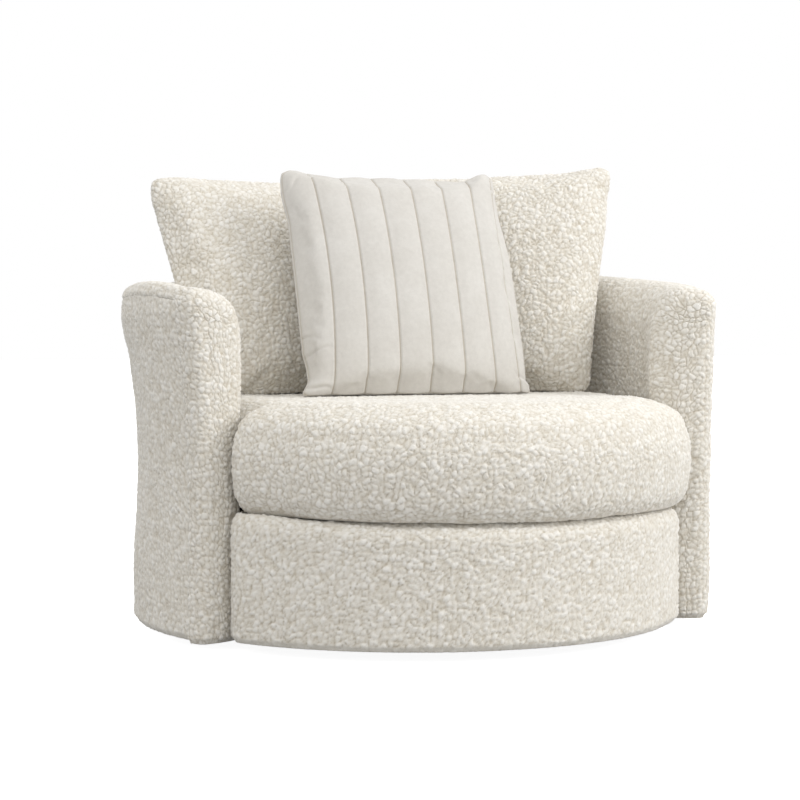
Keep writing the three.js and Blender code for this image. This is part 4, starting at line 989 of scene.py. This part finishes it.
def plain_material(name, low, high, scale, roughness, metallic=0.0, stretch=None):
    """A worked surface: two tones of one colour, uneven roughness and a fine relief."""
    material, tree, shader = new_material(name)
    grain = noise(tree, scale, 4.0, 0.6)
    if stretch:
        mapping = tree.nodes.new("ShaderNodeMapping")
        mapping.inputs["Scale"].default_value = stretch
        coord = tree.nodes.new("ShaderNodeTexCoord")
        tree.links.new(coord.outputs["Object"], mapping.inputs["Vector"])
        tree.links.new(mapping.outputs["Vector"], grain.inputs["Vector"])
    tone = ramp(tree, grain.outputs["Fac"], [(0.3, low), (0.7, high)])
    tree.links.new(tone.outputs[0], shader.inputs["Base Color"])
    a, b = roughness
    rough = ramp(tree, grain.outputs["Fac"], [(0.3, (a, a, a)), (0.7, (b, b, b))])
    tree.links.new(rough.outputs[0], shader.inputs["Roughness"])
    relief = bump(tree, grain.outputs["Fac"], 0.3, 0.0004)
    tree.links.new(relief.outputs[0], shader.inputs["Normal"])
    shader.inputs["Metallic"].default_value = metallic
    return material


boucle = boucle_material()
velvet = velvet_material()
finishes = {
    slot: plain_material(slot, *look)
    for slot, look in {
        "plywood": ((0.52, 0.37, 0.21), (0.66, 0.50, 0.31), 9, (0.55, 0.75), 0.0, (1, 1, 9)),
        "beech": ((0.58, 0.42, 0.25), (0.70, 0.54, 0.35), 12, (0.5, 0.65), 0.0, (2, 2, 10)),
        "bearing_steel": ((0.50, 0.51, 0.52), (0.62, 0.63, 0.64), 90, (0.25, 0.42), 1.0),
        "black_steel": ((0.012, 0.012, 0.013), (0.022, 0.022, 0.024), 160, (0.38, 0.5)),
        "spring_steel": ((0.26, 0.27, 0.28), (0.36, 0.37, 0.39), 120, (0.3, 0.45), 1.0),
        "glide_plastic": ((0.015, 0.015, 0.015), (0.03, 0.03, 0.03), 220, (0.5, 0.65)),
        "pad_cloth": ((0.60, 0.57, 0.52), (0.72, 0.69, 0.64), 400, (0.9, 1.0)),
        "dust_cloth": ((0.018, 0.018, 0.020), (0.035, 0.035, 0.038), 500, (0.9, 1.0)),
    }.items()
}

# Pieces
covers = [
    (inside_cover(), ("inside_cover",)),
    (outside_cover(), ("outside_cover",)),
    (arm_end(1), ("arm_facing_right",)),
    (arm_end(-1), ("arm_facing_left",)),
    (drum_cover(), ("drum_cover",)),
]
for piece, nodes in covers:
    piece.data.materials.append(boucle)
    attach(piece, "chair")
    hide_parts(*nodes)

# Each cushion's node has the same name as its body
cushions = [
    (seat_cushion(), "seat_cushion", "boucle", boucle, 0.85),
    (back_cushion("left"), "back_cushion_left", "boucle", boucle, 0.8),
    (back_cushion("right"), "back_cushion_right", "boucle", boucle, 0.8),
    (scatter_cushion(), "scatter_cushion", "velvet", velvet, 0.75),
]
for piece, body, slot, material, fill in cushions:
    piece.data.materials.append(material)
    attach(piece, body)
    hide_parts(body)

pad, dust = deck_pad(), dust_cover()
for piece, node, slot in ((pad, "deck_pad", "pad_cloth"), (dust, "dust_cover", "dust_cloth")):
    piece.data.materials.append(finishes[slot])
    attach(piece, "chair")
    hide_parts(node)

# Hidden frame and base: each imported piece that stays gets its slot's finish
for part in frame["record"]["subparts"]:
    node = frame["nodes"][part["node"]]
    finish = finishes.get(part["material_slot"])
    if finish:
        if not node.material_slots:
            node.data.materials.append(None)
        for slot in node.material_slots:
            slot.material = finish


# Floor, world and lamps
def show_to_eye(tree, light, shown, output):
    """One shader for the light that falls on things, another for what the camera, gloss and glass see."""
    path = tree.nodes.new("ShaderNodeLightPath")
    seen = path.outputs["Is Camera Ray"]
    for ray in ("Is Glossy Ray", "Is Transmission Ray"):
        either = tree.nodes.new("ShaderNodeMath")
        either.operation = "MAXIMUM"
        tree.links.new(seen, either.inputs[0])
        tree.links.new(path.outputs[ray], either.inputs[1])
        seen = either.outputs[0]
    pick = tree.nodes.new("ShaderNodeMixShader")
    tree.links.new(seen, pick.inputs[0])
    tree.links.new(light.outputs[0], pick.inputs[1])
    tree.links.new(shown.outputs[0], pick.inputs[2])
    tree.links.new(pick.outputs[0], output.inputs[0])


def white_stage():
    size = 30
    points = [(-size, -size, 0), (size, -size, 0), (size, size, 0), (-size, size, 0)]
    floor = make_object("floor", points, [np.array([0, 1, 2, 3])])
    material = bpy.data.materials.new("floor")
    material.use_nodes = True
    tree = material.node_tree
    tree.nodes.clear()
    output = tree.nodes.new("ShaderNodeOutputMaterial")
    diffuse = tree.nodes.new("ShaderNodeBsdfDiffuse")
    diffuse.inputs["Color"].default_value = (0.8, 0.8, 0.8, 1)
    glow = tree.nodes.new("ShaderNodeEmission")
    glow.inputs["Strength"].default_value = 0.92
    both = tree.nodes.new("ShaderNodeAddShader")
    tree.links.new(diffuse.outputs[0], both.inputs[0])
    tree.links.new(glow.outputs[0], both.inputs[1])
    bounce = tree.nodes.new("ShaderNodeBsdfDiffuse")
    bounce.inputs["Color"].default_value = (0.5, 0.5, 0.5, 1)
    show_to_eye(tree, bounce, both, output)
    floor.data.materials.append(material)


def white_world(strength):
    world = bpy.data.worlds.new("world")
    scene.world = world
    world.use_nodes = True
    tree = world.node_tree
    tree.nodes.clear()
    output = tree.nodes.new("ShaderNodeOutputWorld")
    light = tree.nodes.new("ShaderNodeBackground")
    light.inputs[0].default_value = (1.0, 0.992, 0.98, 1)
    light.inputs[1].default_value = strength
    seen = tree.nodes.new("ShaderNodeBackground")
    seen.inputs[0].default_value = (1, 1, 1, 1)
    seen.inputs[1].default_value = 1.0
    show_to_eye(tree, light, seen, output)


def soft_lamp(name, place, target, size, power, colour=(1, 1, 1)):
    data = bpy.data.lights.new(name, "AREA")
    data.shape = "DISK"
    data.size = size
    data.energy = power
    data.color = colour
    lamp = bpy.data.objects.new(name, data)
    lamp.location = place
    lamp.rotation_euler = (Vector(target) - Vector(place)).to_track_quat("-Z", "Y").to_euler()
    scene.collection.objects.link(lamp)


white_stage()
white_world(0.88)
soft_lamp("key", (3.2, -2.2, 2.4), (0, 0, 0.45), 2.6, 88, (1.0, 0.992, 0.98))
soft_lamp("top", (-0.9, -1.5, 3.1), (0, 0.1, 0.4), 2.6, 22, (1.0, 0.995, 0.985))
